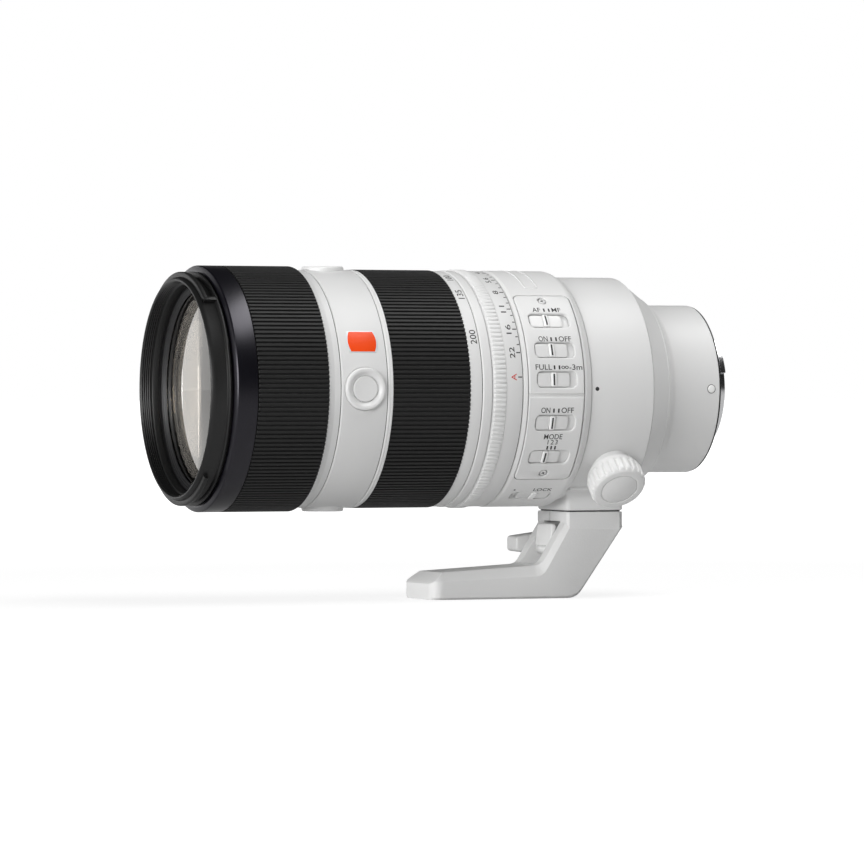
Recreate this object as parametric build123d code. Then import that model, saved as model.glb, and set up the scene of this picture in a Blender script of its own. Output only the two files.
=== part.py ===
from build123d import *
import os
from math import asin, cos, degrees, radians, sin, sqrt

# A white telephoto zoom camera lens with a tripod collar and foot, in millimetres.
# Origin: centre of the camera flange. +X leaves the lens towards the camera, +Z is up and
# -Y is the switch side. A station is a distance behind the front rim, along the optical axis.
# An angle round the barrel is counted from the switch side upwards: 0 is -Y and 90 is the top.

# Widths of the rings, from the front rim to the camera flange
filter_ring_width = 7.6
name_ring_width = 8.2
ring_gap = 0.3
focus_grip_width = 26.4
focus_lip_width = 1.7
focus_taper_width = 1.6
focus_tail_width = 1.35
front_band_width = 17.2
zoom_lip_width = 1.9
zoom_grip_width = 29.6
zoom_scale_width = 4.4
index_ring_width = 3.5
knurl_width = 5.25
iris_scale_width = 6.3
switch_barrel_width = 23.6
shoulder_width = 3.3
collar_width = 24.5
rear_taper_width = 9.4
rear_cove_width = 3.9
rear_tube_width = 17.3
mount_plate_width = 0.6

# Outer radii
rim_radius = 39.3
hood_sleeve_radius = 39.9
hood_flange_radius = 41.7
grip_radius = 44.0
focus_lip_radius = 43.0
focus_tail_radius = 42.5
band_radius = 42.8
zoom_lip_radius = 42.9
zoom_grip_radius = 43.0
zoom_scale_radius = 42.7
index_radius = 42.9
knurl_radius = 43.3
iris_scale_radius = 42.8
switch_radius = 43.0
shoulder_radius = 41.3
collar_radius = 40.8
taper_front_radius = 40.1
taper_rear_radius = 33.5
rear_tube_radius = 30.8

# Fits shared by many pieces
seat_clearance = 0.05
turn_clearance = 0.2
edge = 0.3
overrun = 1.0

# Core tube, which the rings turn on and the glass sits in
core_radius = 38.6
core_wall = 1.2
core_lead = 2.0
core_tail = 0.6
shelf_width = 2.0
shelf_bore = 29.5

# Front ring: filter thread inside, hood bayonet outside
thread_radius = 38.1
thread_length = 5.0
thread_lead = 0.4
hood_lug_front = 1.6
hood_lug_width = 1.5
hood_lug_low = 49.0
hood_lug_high = 131.0
hood_stop_span = 2.2
hood_flange_front = 6.1
hood_flange_width = 0.8
hood_groove_radius = 40.5

# Name ring
name_bevel_radius = 42.3
name_bevel_width = 0.7

# Front glass and its cell
front_glass_radius = 36.3
front_glass_setback = 9.5
front_glass_edge = 3.0
front_glass_front_curve = 190.0
front_glass_rear_curve = 900.0
retainer_bore = 34.6
retainer_width = 1.4
retainer_gap = 0.5
front_cell_length = 22.0
cell_wall = 1.0
second_glass_radius = 33.5
second_glass_gap = 2.0
second_glass_edge = 3.4
second_glass_curve = 150.0
third_glass_edge = 5.5
third_glass_curve = 110.0
third_glass_rear_curve = 260.0

# Grips and the rings under them
focus_core_radius = 41.6
zoom_core_radius = 41.4
grip_edge = 0.4

# Focus-hold buttons, three round the front band
button_angles = (0.0, 90.0, -90.0)
button_radius = 4.8
button_clearance = 0.15
button_top = 43.5
button_bottom = 40.2
button_flange_radius = 5.4
button_flange_width = 1.0
button_well_radius = 5.6
bezel_radius = 7.5
bezel_crown_radius = 6.8
bezel_seat = 41.4
bezel_top = 44.0
bezel_outer_height = 43.1
bezel_inner_height = 43.0
bezel_place = 8.75

# Badge plate on the front band
badge_front_gap = 3.3
badge_width = 10.85
badge_low = 17.8
badge_high = 28.4
badge_seat = 42.4
badge_height = 0.2

# Zoom cam and the zoom group it drives
zoom_turn = 64.3
cam_clearance = 0.2
cam_wall = 1.3
cam_front_gap = 0.6
zoom_travel = 28.0
roller_radius = 2.0
roller_clearance = 0.2
roller_count = 3
roller_first_angle = 60.0
roller_lead = 6.0
roller_steps = 16
variator_rest = 35.0
variator_length = 18.0
variator_wall = 1.2
variator_glass_radius = 27.0
variator_glass_edge = 5.0
variator_glass_gap = 1.6
variator_glass_curve = 110.0
variator_shallow_curve = 220.0
variator_flat_curve = 330.0
cam_length = 58.0
key_place = 16.5
key_width = 6.0
key_length = 4.0
key_angle = 0.0
key_play = 3.0

# Focus groups on guide rods
rod_radius = 1.0
rod_clearance = 0.05
rod_angles = (60.0, 240.0)
front_rod_circle = 33.0
rear_rod_circle = 31.4
focus_travel = 5.0
focus_flange_width = 3.0
focus_cell_wall = 2.0
focus_glass_setback = 2.0
front_focus_gap = 1.6
front_focus_width = 8.0
front_focus_radius = 36.0
front_focus_glass = 22.0
focus_glass_edge = 2.6
focus_glass_curve = 60.0
focus_glass_rear_curve = 95.0
rear_focus_gap = 1.6
rear_focus_width = 8.0
rear_focus_radius = 33.6
rear_focus_glass = 20.0

# Iris unit
iris_unit_gap = 1.2
iris_unit_width = 7.0
iris_wall = 1.6
iris_bore = 21.0
iris_chamber_radius = 34.5
blade_count = 11
blade_sheet = 0.18
blade_pitch = 0.3
blade_inner = 22.0
blade_width = 6.5
blade_span = 80.0
blade_front_gap = 0.2

# Stabiliser: an outer slide that shifts sideways and a cell in it that shifts up and down
stabiliser_gap = 0.4
slide_width = 2.4
slide_radius = 34.0
slide_bore = 24.0
stabiliser_cell_width = 5.0
stabiliser_cell_radius = 27.0
stabiliser_glass = 20.0
stabiliser_glass_edge = 3.6
stabiliser_glass_curve = 200.0

# Rear barrel
sleeve_radius = 36.5
sleeve_wall = 1.8
sleeve_flange_width = 1.5
cove_run_share = 0.4
cove_height_share = 0.28
sleeve_shelf_width = 2.0
sleeve_shelf_bore = 29.0
rear_tube_wall = 1.8
taper_wall_front = 2.2
taper_inner_run = 9.5
mount_shelf_width = 3.0
mount_shelf_bore = 25.5
bead_radius = 1.35
bead_setback = 3.4
bead_depth = 0.8
bead_height = 0.25

# Rear glass and its cell
rear_cell_bore = 17.5
rear_cell_wall = 2.0
rear_cell_flange_width = 2.0
rear_cell_seat_width = 3.0
rear_cell_seat_gap = 4.6
rear_glass_edge = 3.0
rear_glass_curve = 80.0
rear_glass_gap = 9.5
rear_glass_count = 3
rear_glass_setback = 2.5

# Camera mount
gasket_width = 0.5
gasket_inner = 29.7
gasket_outer = 30.6
flange_outer = 29.6
flange_inner = 24.0
flange_relief = 0.7
mount_boss_width = 2.4
spigot_radius = 21.8
spigot_bore = 19.8
spigot_length = 5.6
claw_radius = 23.2
claw_width = 1.7
claw_count = 3
claw_first_angle = 15.0
claw_span = 35.0
mount_screw_count = 4
mount_screw_circle = 27.0
mount_screw_first_angle = 10.0
mount_screw_head_radius = 1.4
mount_screw_head = 1.1
mount_screw_shank_radius = 0.8
mount_screw_length = 5.2
mount_screw_clearance = 0.05
baffle_width = 1.2
baffle_window_wide = 28.0
baffle_window_high = 21.0
baffle_setback = 1.0
contact_span = 50.0
contact_depth = 2.4
contact_length = 4.4
pin_count = 10
pin_radius = 0.5
pin_height = 0.35
pin_pitch_angle = 4.6
pin_depth = 2.0

# Switch panel
plate_front_gap = 2.0
plate_width = 21.4
plate_seat = 42.0
plate_radius = 43.3
plate_low = -49.0
plate_split = -3.1
plate_high = 51.0
plate_gap_angle = 0.25
slot_length = 15.5
slot_height = 6.0
slot_corner = 2.0
slot_place = 10.85
slide_cap_length = 12.4
mode_cap_length = 11.4
slide_cap_height = 5.3
slide_cap_corner = 1.6
slide_cap_radius = 43.05
slide_cap_gap = 0.35
slide_ridge_length = 1.7
slide_ridge_radius = 43.75
slide_ridge_height = 4.6
slide_shutter_height = 7.0
slide_shutter_margin = 0.9
slide_shutter_top = 41.8
slide_shutter_sheet = 0.6
slide_well_play = 0.3
slide_well_floor = 41.0
switch_travel = 2.0
mode_step = 1.45
focus_mode_angle = 34.6
manual_assist_angle = 18.8
range_limit_angle = 4.4
stabiliser_angle = -16.5
stabiliser_mode_angle = -34.7
iris_lock_angle = -64.0
iris_lock_place = 12.3
iris_click_angle = 180.0
screw_place = 10.85
screw_upper_angle = 47.1
screw_lower_angle = -44.7
screw_head_radius = 1.25
screw_head = 0.7
screw_shank_radius = 0.6
screw_length = 3.0
screw_recess = 0.25

# Tripod collar, its foot block and clamp
block_front_gap = 2.0
block_rear_gap = 0.2
block_width = 28.0
block_drop = 44.3
block_edge = 1.0
block_chamfer = 0.8
dovetail_top_width = 12.0
dovetail_bottom_width = 17.0
dovetail_height = 4.2
dovetail_front_gap = 2.6
dovetail_rear_gap = 2.5
dovetail_clearance = 0.2
knob_place = 12.7
knob_angle = -44.6
boss_radius = 7.5
boss_top = 42.6
knob_gap = 0.3
knob_skirt_radius = 9.4
knob_radius = 9.85
knob_rib_radius = 10.3
knob_rib_count = 24
knob_rib_width = 1.9
knob_skirt_height = 2.0
knob_rib_height = 5.8
knob_height = 8.8
knob_face_radius = 9.0
knob_inlay_radius = 6.8
knob_groove = 0.35
clamp_screw_radius = 3.0
clamp_screw_clearance = 0.1
clamp_screw_grip = 5.0
clamp_thread_pitch = 1.0
shoe_height = 1.6
shoe_clearance = 0.1
shoe_radius = 4.2

# Tripod foot
foot_seam = 0.5
foot_width = 28.6
foot_depth = 76.1
jaw_depth = 3.9
neck_chamfer = 1.8
foot_heel_depth = 50.1
foot_slant_place = 16.5
foot_slant_depth = 73.3
foot_heel_run = 4.4
neck_foot_place = 32.0
neck_foot_depth = 64.1
toe_length = 43.5
toe_nose_depth = 70.4
toe_nose_run = 5.3
toe_top_depth = 66.3
toe_corner = 4.3
toe_chamfer = 3.4
slit_width = 0.8
slit_offset = 2.0
slit_depth = 4.2
window_width = 14.8
window_rear_place = 14.5
window_top = 48.3
socket_place = 27.0
socket_radius = 2.55
socket_depth = 8.0
socket_wall = 2.0

# Lever that clamps the foot's jaw, and the release tab in its window
lever_gap = 0.3
lever_hub_place = 11.0
lever_hub_depth = 57.0
lever_hub_radius = 5.4
lever_hub_width = 9.0
lever_arm_reach = 19.4
lever_arm_width = 9.8
lever_arm_height = 9.8
lever_tip_height = 5.4
lever_arm_edge = 1.2
lever_shaft_radius = 2.0
lever_shaft_length = 20.0
lever_shaft_clearance = 0.08
tab_width = 14.0
tab_top = 49.3
tab_bottom = 57.9
tab_pin_depth = 58.6
tab_sheet = 1.8
tab_front_place = 25.3
tab_lean = 1.2
tab_edge = 0.5
tab_boss_radius = 1.7
tab_boss_width = 8.0
tab_pin_radius = 0.8
tab_pin_reach = 2.4
tab_pin_clearance = 0.05
latch_width = 5.0
latch_sheet = 1.4
latch_nose_place = 17.9
latch_nose_width = 1.2
latch_gap = 0.2

# Stations, each one where the last piece ends
name_ring_front = filter_ring_width
name_ring_rear = name_ring_front + name_ring_width
focus_front = name_ring_rear + ring_gap
focus_lip_front = focus_front + focus_grip_width
focus_taper_front = focus_lip_front + focus_lip_width
focus_tail_front = focus_taper_front + focus_taper_width
focus_rear = focus_tail_front + focus_tail_width
band_front = focus_rear + ring_gap
band_rear = band_front + front_band_width
zoom_front = band_rear + ring_gap
zoom_grip_front = zoom_front + zoom_lip_width
zoom_scale_front = zoom_grip_front + zoom_grip_width
zoom_rear = zoom_scale_front + zoom_scale_width
index_front = zoom_rear + ring_gap
index_rear = index_front + index_ring_width
iris_front = index_rear + ring_gap
iris_scale_front = iris_front + knurl_width
iris_rear = iris_scale_front + iris_scale_width
switch_front = iris_rear + ring_gap
shoulder_front = switch_front + switch_barrel_width
switch_rear = shoulder_front + shoulder_width
collar_front = switch_rear + ring_gap
collar_rear = collar_front + collar_width
rear_front = collar_rear + ring_gap
cove_front = rear_front + rear_taper_width
tube_front = cove_front + rear_cove_width
rear_end = tube_front + rear_tube_width
lens_length = rear_end + mount_plate_width

# Radii and stations that follow
core_bore = core_radius - core_wall
core_front = filter_ring_width - core_lead
core_rear = shoulder_front + core_tail
seat_bore = core_radius + seat_clearance
turn_bore = core_radius + turn_clearance
shelf_front = zoom_rear
shelf_rear = shelf_front + shelf_width
cam_radius = core_bore - cam_clearance
cam_bore = cam_radius - cam_wall
variator_radius = cam_bore - cam_clearance
front_cell_front = front_glass_setback - retainer_gap - retainer_width
front_cell_rear = front_cell_front + front_cell_length
cam_front = front_cell_rear + cam_front_gap
cam_rear = cam_front + cam_length
key_front = zoom_grip_front + key_place
front_focus_front = shelf_rear + front_focus_gap
iris_unit_front = front_focus_front + front_focus_width + focus_travel + iris_unit_gap
iris_unit_rear = iris_unit_front + iris_unit_width
slide_front = iris_unit_rear + stabiliser_gap
stabiliser_cell_front = slide_front + slide_width + stabiliser_gap
sleeve_front = core_rear - sleeve_flange_width
sleeve_bore = sleeve_radius - sleeve_wall
sleeve_shelf_rear = sleeve_front + sleeve_shelf_width
rear_focus_front = sleeve_shelf_rear + rear_focus_gap
rear_cell_start = rear_focus_front + rear_focus_width + focus_travel + rear_focus_gap
rear_tube_bore = rear_tube_radius - rear_tube_wall
mount_shelf_rear = rear_end - mount_boss_width
mount_shelf_front = mount_shelf_rear - mount_shelf_width
rear_cell_end = mount_shelf_front - rear_cell_seat_gap
rear_cell_seat_front = rear_cell_end - rear_cell_seat_width
rear_cell_radius = rear_cell_bore + rear_cell_wall
button_station = band_front + bezel_place
slot_station = switch_front + plate_front_gap + slot_place
knob_station = collar_front + knob_place
knob_base = boss_top + knob_gap
block_front = collar_front + block_front_gap
block_rear = collar_rear - block_rear_gap
dovetail_front = block_front + dovetail_front_gap
dovetail_rear = block_rear - dovetail_rear_gap
foot_top = block_drop + foot_seam
foot_rear = collar_rear
foot_front = block_front
foot_toe = foot_rear - neck_foot_place - toe_length
lever_hub_station = foot_rear - lever_hub_place
lever_hub_front = foot_width / 2 + lever_gap
tab_station = foot_rear - tab_front_place
tab_pin_station = tab_station - tab_lean + tab_sheet / 2
latch_nose_front = foot_rear - latch_nose_place
latch_nose_top = block_drop + dovetail_height + latch_gap


def at(station):
    """X of a station."""
    return station - lens_length


def turned(*points):
    """A solid turned about the optical axis, from (station, radius) points."""
    outline = Polyline(*[(at(station), radius) for station, radius in points], close=True)
    return revolve(make_face(outline), Axis.X, 360)


def ring(front, rear, inner, outer, bevel=0.0):
    """A plain ring, with its outer edges bevelled."""
    if bevel == 0:
        return turned((front, inner), (rear, inner), (rear, outer), (front, outer))
    return turned(
        (front, inner),
        (rear, inner),
        (rear, outer - bevel),
        (rear - bevel, outer),
        (front + bevel, outer),
        (front, outer - bevel),
    )


def sector(front, rear, inner, outer, low, high):
    """A block bent round the optical axis, between two angles."""
    corners = [(front, inner), (rear, inner), (rear, outer), (front, outer)]
    outline = Polyline(*[(at(station), -radius) for station, radius in corners], close=True)
    block = revolve(make_face(outline), Axis.X, high - low)
    return Rot(X=-high) * block


def spot(station, radius, angle):
    """A plane on the barrel: local X along the axis, local Z straight out."""
    turn = radians(angle)
    out = (0, -cos(turn), sin(turn))
    return Plane(origin=(at(station), radius * out[1], radius * out[2]), x_dir=(1, 0, 0), z_dir=out)


def post(station, angle, radius, low, high):
    """A round post that stands out from the barrel, between two radii."""
    return extrude(spot(station, low, angle) * Circle(radius), high - low)


def pill(station, angle, length, height, corner, low, high):
    """A block with rounded corners that stands out from the barrel, between two radii."""
    return extrude(spot(station, low, angle) * RectangleRounded(length, height, corner), high - low)


def rod(station_a, station_b, circle, angle, radius):
    """A round rod along the axis, off centre."""
    turn = radians(angle)
    place = (at(station_a), -circle * cos(turn), circle * sin(turn))
    plane = Plane(origin=place, x_dir=(0, 1, 0), z_dir=(1, 0, 0))
    return extrude(plane * Circle(radius), station_b - station_a)


def sag(curve, radius):
    """How far a spherical face of this curve falls away at this radius."""
    return curve - sqrt(curve * curve - radius * radius)


def glass(edge_front, edge_width, radius, front_curve, rear_curve):
    """A lens element from its rim. A positive curve bulges outwards, a negative one is hollow."""
    front_sag = sag(abs(front_curve), radius) * (1 if front_curve > 0 else -1)
    rear_sag = sag(abs(rear_curve), radius) * (1 if rear_curve > 0 else -1)
    front_rim = (at(edge_front), radius)
    rear_rim = (at(edge_front + edge_width), radius)
    front_pole = (at(edge_front - front_sag), 0)
    rear_pole = (at(edge_front + edge_width + rear_sag), 0)
    half = radius / 2
    front_half_sag = front_sag - sag(abs(front_curve), half) * (1 if front_curve > 0 else -1)
    rear_half_sag = rear_sag - sag(abs(rear_curve), half) * (1 if rear_curve > 0 else -1)
    front_middle = (at(edge_front - front_half_sag), half)
    rear_middle = (at(edge_front + edge_width + rear_half_sag), half)
    outline = ThreePointArc(front_pole, front_middle, front_rim)
    outline += Line(front_rim, rear_rim)
    outline += ThreePointArc(rear_rim, rear_middle, rear_pole)
    outline += Line(rear_pole, front_pole)
    return revolve(make_face(outline), Axis.X, 360)


def filter_ring():
    flange_rear = hood_flange_front + hood_flange_width
    body = turned(
        (0, thread_radius + thread_lead),
        (thread_lead, thread_radius),
        (thread_length, thread_radius),
        (thread_length, core_bore),
        (core_front, core_bore),
        (core_front, seat_bore),
        (filter_ring_width, seat_bore),
        (filter_ring_width, hood_groove_radius),
        (flange_rear, hood_groove_radius),
        (flange_rear, hood_flange_radius - edge),
        (flange_rear - edge, hood_flange_radius),
        (hood_flange_front, hood_flange_radius),
        (hood_flange_front, hood_sleeve_radius),
        (hood_lug_front, hood_sleeve_radius),
        (edge, rim_radius),
        (0, rim_radius - edge),
    )
    for side in (1, -1):
        low, high = sorted((side * hood_lug_low, side * hood_lug_high))
        root = hood_sleeve_radius - edge
        body += sector(hood_lug_front, hood_lug_front + hood_lug_width, root, hood_flange_radius, low, high)
    for low in (hood_lug_low, hood_lug_low + 180):
        body += sector(hood_lug_front, hood_flange_front, root, hood_flange_radius,
                       low, low + hood_stop_span)
    return body


def name_ring():
    return turned(
        (name_ring_front, seat_bore),
        (name_ring_rear, seat_bore),
        (name_ring_rear, grip_radius - edge),
        (name_ring_rear - edge, grip_radius),
        (name_ring_front + name_bevel_width, grip_radius),
        (name_ring_front, name_bevel_radius),
    )


def roller_angles():
    return [roller_first_angle + 360 / roller_count * k for k in range(roller_count)]


def core_tube():
    body = turned(
        (core_front, core_bore),
        (shelf_front, core_bore),
        (shelf_front, shelf_bore),
        (shelf_rear, shelf_bore),
        (shelf_rear, core_bore),
        (core_rear, core_bore),
        (core_rear, core_radius),
        (core_front, core_radius),
    )
    slot_radius = roller_radius + roller_clearance
    first = variator_rest + roller_lead
    for angle in roller_angles():
        middle = first + zoom_travel / 2
        length = zoom_travel + 2 * slot_radius
        body -= pill(middle, angle, length, 2 * slot_radius, slot_radius - seat_clearance,
                     core_bore - overrun, core_radius + overrun)
    half = degrees(key_width / 2 / core_radius)
    body -= sector(key_front - ring_gap, key_front + key_length + ring_gap, core_bore - overrun,
                   core_radius + overrun,
                   key_angle - half - key_play, key_angle + half + zoom_turn + key_play)
    for angle in rod_angles:
        body -= rod(shelf_front - overrun, shelf_rear + overrun, front_rod_circle, angle,
                    rod_radius + rod_clearance)
    return body


def front_retainer():
    rear = front_glass_setback - retainer_gap
    return turned(
        (rear - retainer_width, front_glass_radius - edge),
        (rear, retainer_bore),
        (rear, core_bore - seat_clearance - cell_wall - seat_clearance),
        (rear - retainer_width, core_bore - seat_clearance - cell_wall - seat_clearance),
    )


def second_glass_front():
    return front_glass_setback + front_glass_edge + second_glass_gap


def third_glass_front():
    return second_glass_front() + second_glass_edge + sag(second_glass_curve, second_glass_radius) + edge


def front_cell():
    outer = core_bore - seat_clearance
    bore = outer - cell_wall
    glass_seat = front_glass_setback + front_glass_edge + seat_clearance
    shoulder = second_glass_front() - seat_clearance
    tail = second_glass_radius + seat_clearance
    return turned(
        (front_cell_front, bore),
        (glass_seat, bore),
        (glass_seat, second_glass_radius - edge),
        (shoulder, second_glass_radius - edge),
        (shoulder, tail),
        (front_cell_rear, tail),
        (front_cell_rear, outer),
        (front_cell_front, outer),
    )


def front_elements():
    first = glass(front_glass_setback, front_glass_edge, front_glass_radius,
                  front_glass_front_curve, -front_glass_rear_curve)
    second = glass(second_glass_front(), second_glass_edge, second_glass_radius,
                   second_glass_curve * 2, -second_glass_curve)
    third = glass(third_glass_front(), third_glass_edge, second_glass_radius,
                  third_glass_curve, third_glass_rear_curve)
    return [first, second, third]


def focus_ring():
    return turned(
        (focus_front, turn_bore),
        (focus_rear, turn_bore),
        (focus_rear, focus_tail_radius - edge),
        (focus_rear - edge, focus_tail_radius),
        (focus_tail_front, focus_tail_radius),
        (focus_taper_front, focus_lip_radius),
        (focus_lip_front, focus_lip_radius),
        (focus_lip_front, focus_core_radius),
        (focus_front, focus_core_radius),
    )


def focus_grip():
    return ring(focus_front, focus_lip_front, focus_core_radius, grip_radius, grip_edge)


def front_band():
    body = ring(band_front, band_rear, seat_bore, band_radius, edge)
    for angle in button_angles:
        body -= post(button_station, angle, button_well_radius, core_bore, bezel_top + overrun)
        body -= post(button_station, angle, bezel_radius + seat_clearance, bezel_seat, bezel_top + overrun)
    badge_front = band_front + badge_front_gap
    play = degrees(seat_clearance / band_radius)
    body -= sector(badge_front - seat_clearance, badge_front + badge_width + seat_clearance, badge_seat,
                   band_radius + overrun, badge_low - play, badge_high + play)
    return body


def bezel(angle):
    bore = button_radius + button_clearance
    outline = Polyline(
        (bore, bezel_seat),
        (bezel_radius, bezel_seat),
        (bezel_radius, bezel_outer_height),
        (bezel_crown_radius + edge, bezel_top),
        (bezel_crown_radius - edge, bezel_top),
        (bore, bezel_inner_height),
        close=True,
    )
    turned_ring = revolve(make_face(Plane.XZ * outline), Axis.Z, 360)
    return spot(button_station, 0, angle) * turned_ring


def button_bezels():
    return [bezel(angle) for angle in button_angles]


def hold_button(angle):
    cap = post(button_station, angle, button_radius, button_bottom, button_top)
    cap = fillet(cap.edges().group_by(Axis((0, 0, 0), spot(button_station, 0, angle).z_dir))[-1], edge)
    foot = post(button_station, angle, button_flange_radius,
                button_bottom, button_bottom + button_flange_width)
    return cap + foot


def badge_plate():
    front = band_front + badge_front_gap
    return sector(front, front + badge_width, badge_seat, band_radius + badge_height, badge_low, badge_high)


def zoom_ring():
    return turned(
        (zoom_front, turn_bore),
        (zoom_rear, turn_bore),
        (zoom_rear, zoom_scale_radius - edge),
        (zoom_rear - edge, zoom_scale_radius),
        (zoom_scale_front, zoom_scale_radius),
        (zoom_scale_front, zoom_core_radius),
        (zoom_grip_front, zoom_core_radius),
        (zoom_grip_front, zoom_lip_radius),
        (zoom_front + edge, zoom_lip_radius),
        (zoom_front, zoom_lip_radius - edge),
    )


def zoom_grip():
    return ring(zoom_grip_front, zoom_scale_front, zoom_core_radius, zoom_grip_radius, grip_edge)


def zoom_cam():
    body = ring(cam_front, cam_rear, cam_bore, cam_radius)
    first = variator_rest + roller_lead
    slot_radius = roller_radius + roller_clearance
    step_travel = zoom_travel / roller_steps
    step_turn = zoom_turn / roller_steps
    for start in roller_angles():
        for k in range(roller_steps + 1):
            station = first + step_travel * k
            angle = start - step_turn * k
            body -= post(station, angle, slot_radius, cam_bore - overrun, cam_radius + overrun)
        for k in range(roller_steps):
            station = first + step_travel * (k + 0.5)
            angle = start - step_turn * (k + 0.5)
            arc = radians(step_turn) * (cam_radius + cam_bore) / 2
            run = sqrt(step_travel * step_travel + arc * arc)
            lean = degrees(asin(-arc / run))
            plane = spot(station, cam_bore - overrun, angle) * Rot(Z=lean)
            body -= extrude(plane * Rectangle(run, 2 * slot_radius), cam_wall + 2 * overrun)
    half = degrees(key_width / 2 / core_radius)
    key = sector(key_front, key_front + key_length, cam_radius - cam_wall / 2,
                 turn_bore - seat_clearance, key_angle - half, key_angle + half)
    return body + key


def variator_cell():
    bore = variator_glass_radius + seat_clearance
    rear = variator_rest + variator_length
    body = turned(
        (variator_rest, variator_radius),
        (variator_rest, variator_radius - variator_wall),
        (rear - variator_wall * 2, variator_radius - variator_wall),
        (rear - variator_wall * 2, bore + variator_wall),
        (variator_rest + variator_wall, bore + variator_wall),
        (variator_rest + variator_wall, bore),
        (rear, bore),
        (rear, variator_radius),
    )
    for angle in roller_angles():
        body += post(variator_rest + roller_lead, angle, roller_radius, variator_radius - variator_wall / 2,
                     core_radius - seat_clearance)
    return body


def variator_elements():
    front = variator_rest + variator_wall * 2
    step = variator_glass_edge + variator_glass_gap
    first = glass(front, variator_glass_edge, variator_glass_radius, variator_shallow_curve,
                  -variator_glass_curve)
    second = glass(front + step, variator_glass_edge, variator_glass_radius, -variator_shallow_curve,
                   -variator_flat_curve)
    return [first, second]


def index_ring():
    return ring(index_front, index_rear, seat_bore, index_radius, edge)


def aperture_ring():
    return turned(
        (iris_front, turn_bore),
        (iris_rear, turn_bore),
        (iris_rear, iris_scale_radius - edge),
        (iris_rear - edge, iris_scale_radius),
        (iris_scale_front, iris_scale_radius),
        (iris_scale_front, knurl_radius - edge),
        (iris_scale_front - edge, knurl_radius),
        (iris_front + edge, knurl_radius),
        (iris_front, knurl_radius - edge),
    )


def switches():
    """Each slide switch: station of its slot, angle, cap length and travel."""
    lock_station = switch_front + iris_lock_place
    return {
        "focus_mode_switch": (slot_station, focus_mode_angle, slide_cap_length, switch_travel),
        "manual_assist_switch": (slot_station, manual_assist_angle, slide_cap_length, switch_travel),
        "range_limit_switch": (slot_station, range_limit_angle, slide_cap_length, switch_travel),
        "stabiliser_switch": (slot_station, stabiliser_angle, slide_cap_length, switch_travel),
        "stabiliser_mode_switch": (slot_station, stabiliser_mode_angle, mode_cap_length, 2 * mode_step),
        "iris_lock_switch": (lock_station, iris_lock_angle, slide_cap_length, -switch_travel),
        "iris_click_switch": (lock_station, iris_click_angle, slide_cap_length, switch_travel),
    }


def slide_rest(cap_length, travel):
    """How far the cap's middle rests from the slot's middle."""
    reach = slot_length / 2 - slide_cap_gap - cap_length / 2
    return -reach if travel > 0 else reach


def slide_switch(name):
    slot, angle, cap_length, travel = switches()[name]
    middle = slot + slide_rest(cap_length, travel)
    bottom = slide_shutter_top - slide_shutter_sheet
    shutter_length = cap_length + 2 * slide_shutter_margin
    body = pill(middle, angle, cap_length, slide_cap_height, slide_cap_corner, bottom, slide_cap_radius)
    body += pill(middle, angle, shutter_length, slide_shutter_height, slide_cap_corner, bottom,
                 slide_shutter_top)
    top = Rectangle(slide_ridge_length, slide_ridge_height)
    ridge = extrude(spot(middle, slide_shutter_top, angle) * top,
                    slide_ridge_radius - slide_shutter_top)
    return body + ridge


def switch_barrel():
    body = turned(
        (switch_front, seat_bore),
        (core_rear + seat_clearance, seat_bore),
        (core_rear + seat_clearance, sleeve_radius + seat_clearance),
        (switch_rear, sleeve_radius + seat_clearance),
        (switch_rear, shoulder_radius),
        (shoulder_front, switch_radius),
        (switch_front + edge, switch_radius),
        (switch_front, switch_radius - edge),
    )
    play = degrees(seat_clearance / plate_radius)
    plate_front = switch_front + plate_front_gap
    body -= sector(plate_front - seat_clearance, plate_front + plate_width + seat_clearance, plate_seat,
                   switch_radius + overrun, plate_low - play, plate_high + play)
    for slot, angle, cap_length, travel in switches().values():
        well_length = cap_length + 2 * slide_shutter_margin + abs(travel) + 2 * slide_well_play
        middle = slot + slide_rest(cap_length, travel) + travel / 2
        well_height = slide_shutter_height + 2 * slide_well_play
        body -= pill(middle, angle, well_length, well_height, slide_cap_corner,
                     slide_well_floor, plate_seat)
        body -= pill(slot, angle, slot_length, slot_height, slot_corner, plate_seat - seat_clearance,
                     switch_radius + overrun)
    for angle in (screw_upper_angle, screw_lower_angle):
        body -= post(plate_front + screw_place, angle, screw_shank_radius + seat_clearance,
                     plate_radius - screw_length - screw_recess - seat_clearance, plate_radius)
    return body


def switch_plate(low, high, names, screw_angle):
    front = switch_front + plate_front_gap
    body = sector(front, front + plate_width, plate_seat, plate_radius, low, high)
    for name in names:
        slot, angle, cap_length, travel = switches()[name]
        body -= pill(slot, angle, slot_length, slot_height, slot_corner, plate_seat - overrun,
                     plate_radius + overrun)
    hole = screw_head_radius + seat_clearance
    body -= post(front + screw_place, screw_angle, hole, plate_radius - screw_recess - screw_head,
                 plate_radius + overrun)
    body -= post(front + screw_place, screw_angle, screw_shank_radius + seat_clearance,
                 plate_seat - overrun, plate_radius)
    return body


def upper_switch_plate():
    names = ("focus_mode_switch", "manual_assist_switch", "range_limit_switch")
    return switch_plate(plate_split + plate_gap_angle / 2, plate_high, names, screw_upper_angle)


def lower_switch_plate():
    names = ("stabiliser_switch", "stabiliser_mode_switch")
    return switch_plate(plate_low, plate_split - plate_gap_angle / 2, names, screw_lower_angle)


def plate_screws():
    solids = []
    for angle in (screw_upper_angle, screw_lower_angle):
        station = switch_front + plate_front_gap + screw_place
        top = plate_radius - screw_recess
        head = post(station, angle, screw_head_radius, top - screw_head, top)
        shank = post(station, angle, screw_shank_radius, top - screw_length, top)
        solids.append(head + shank)
    return solids


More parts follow.
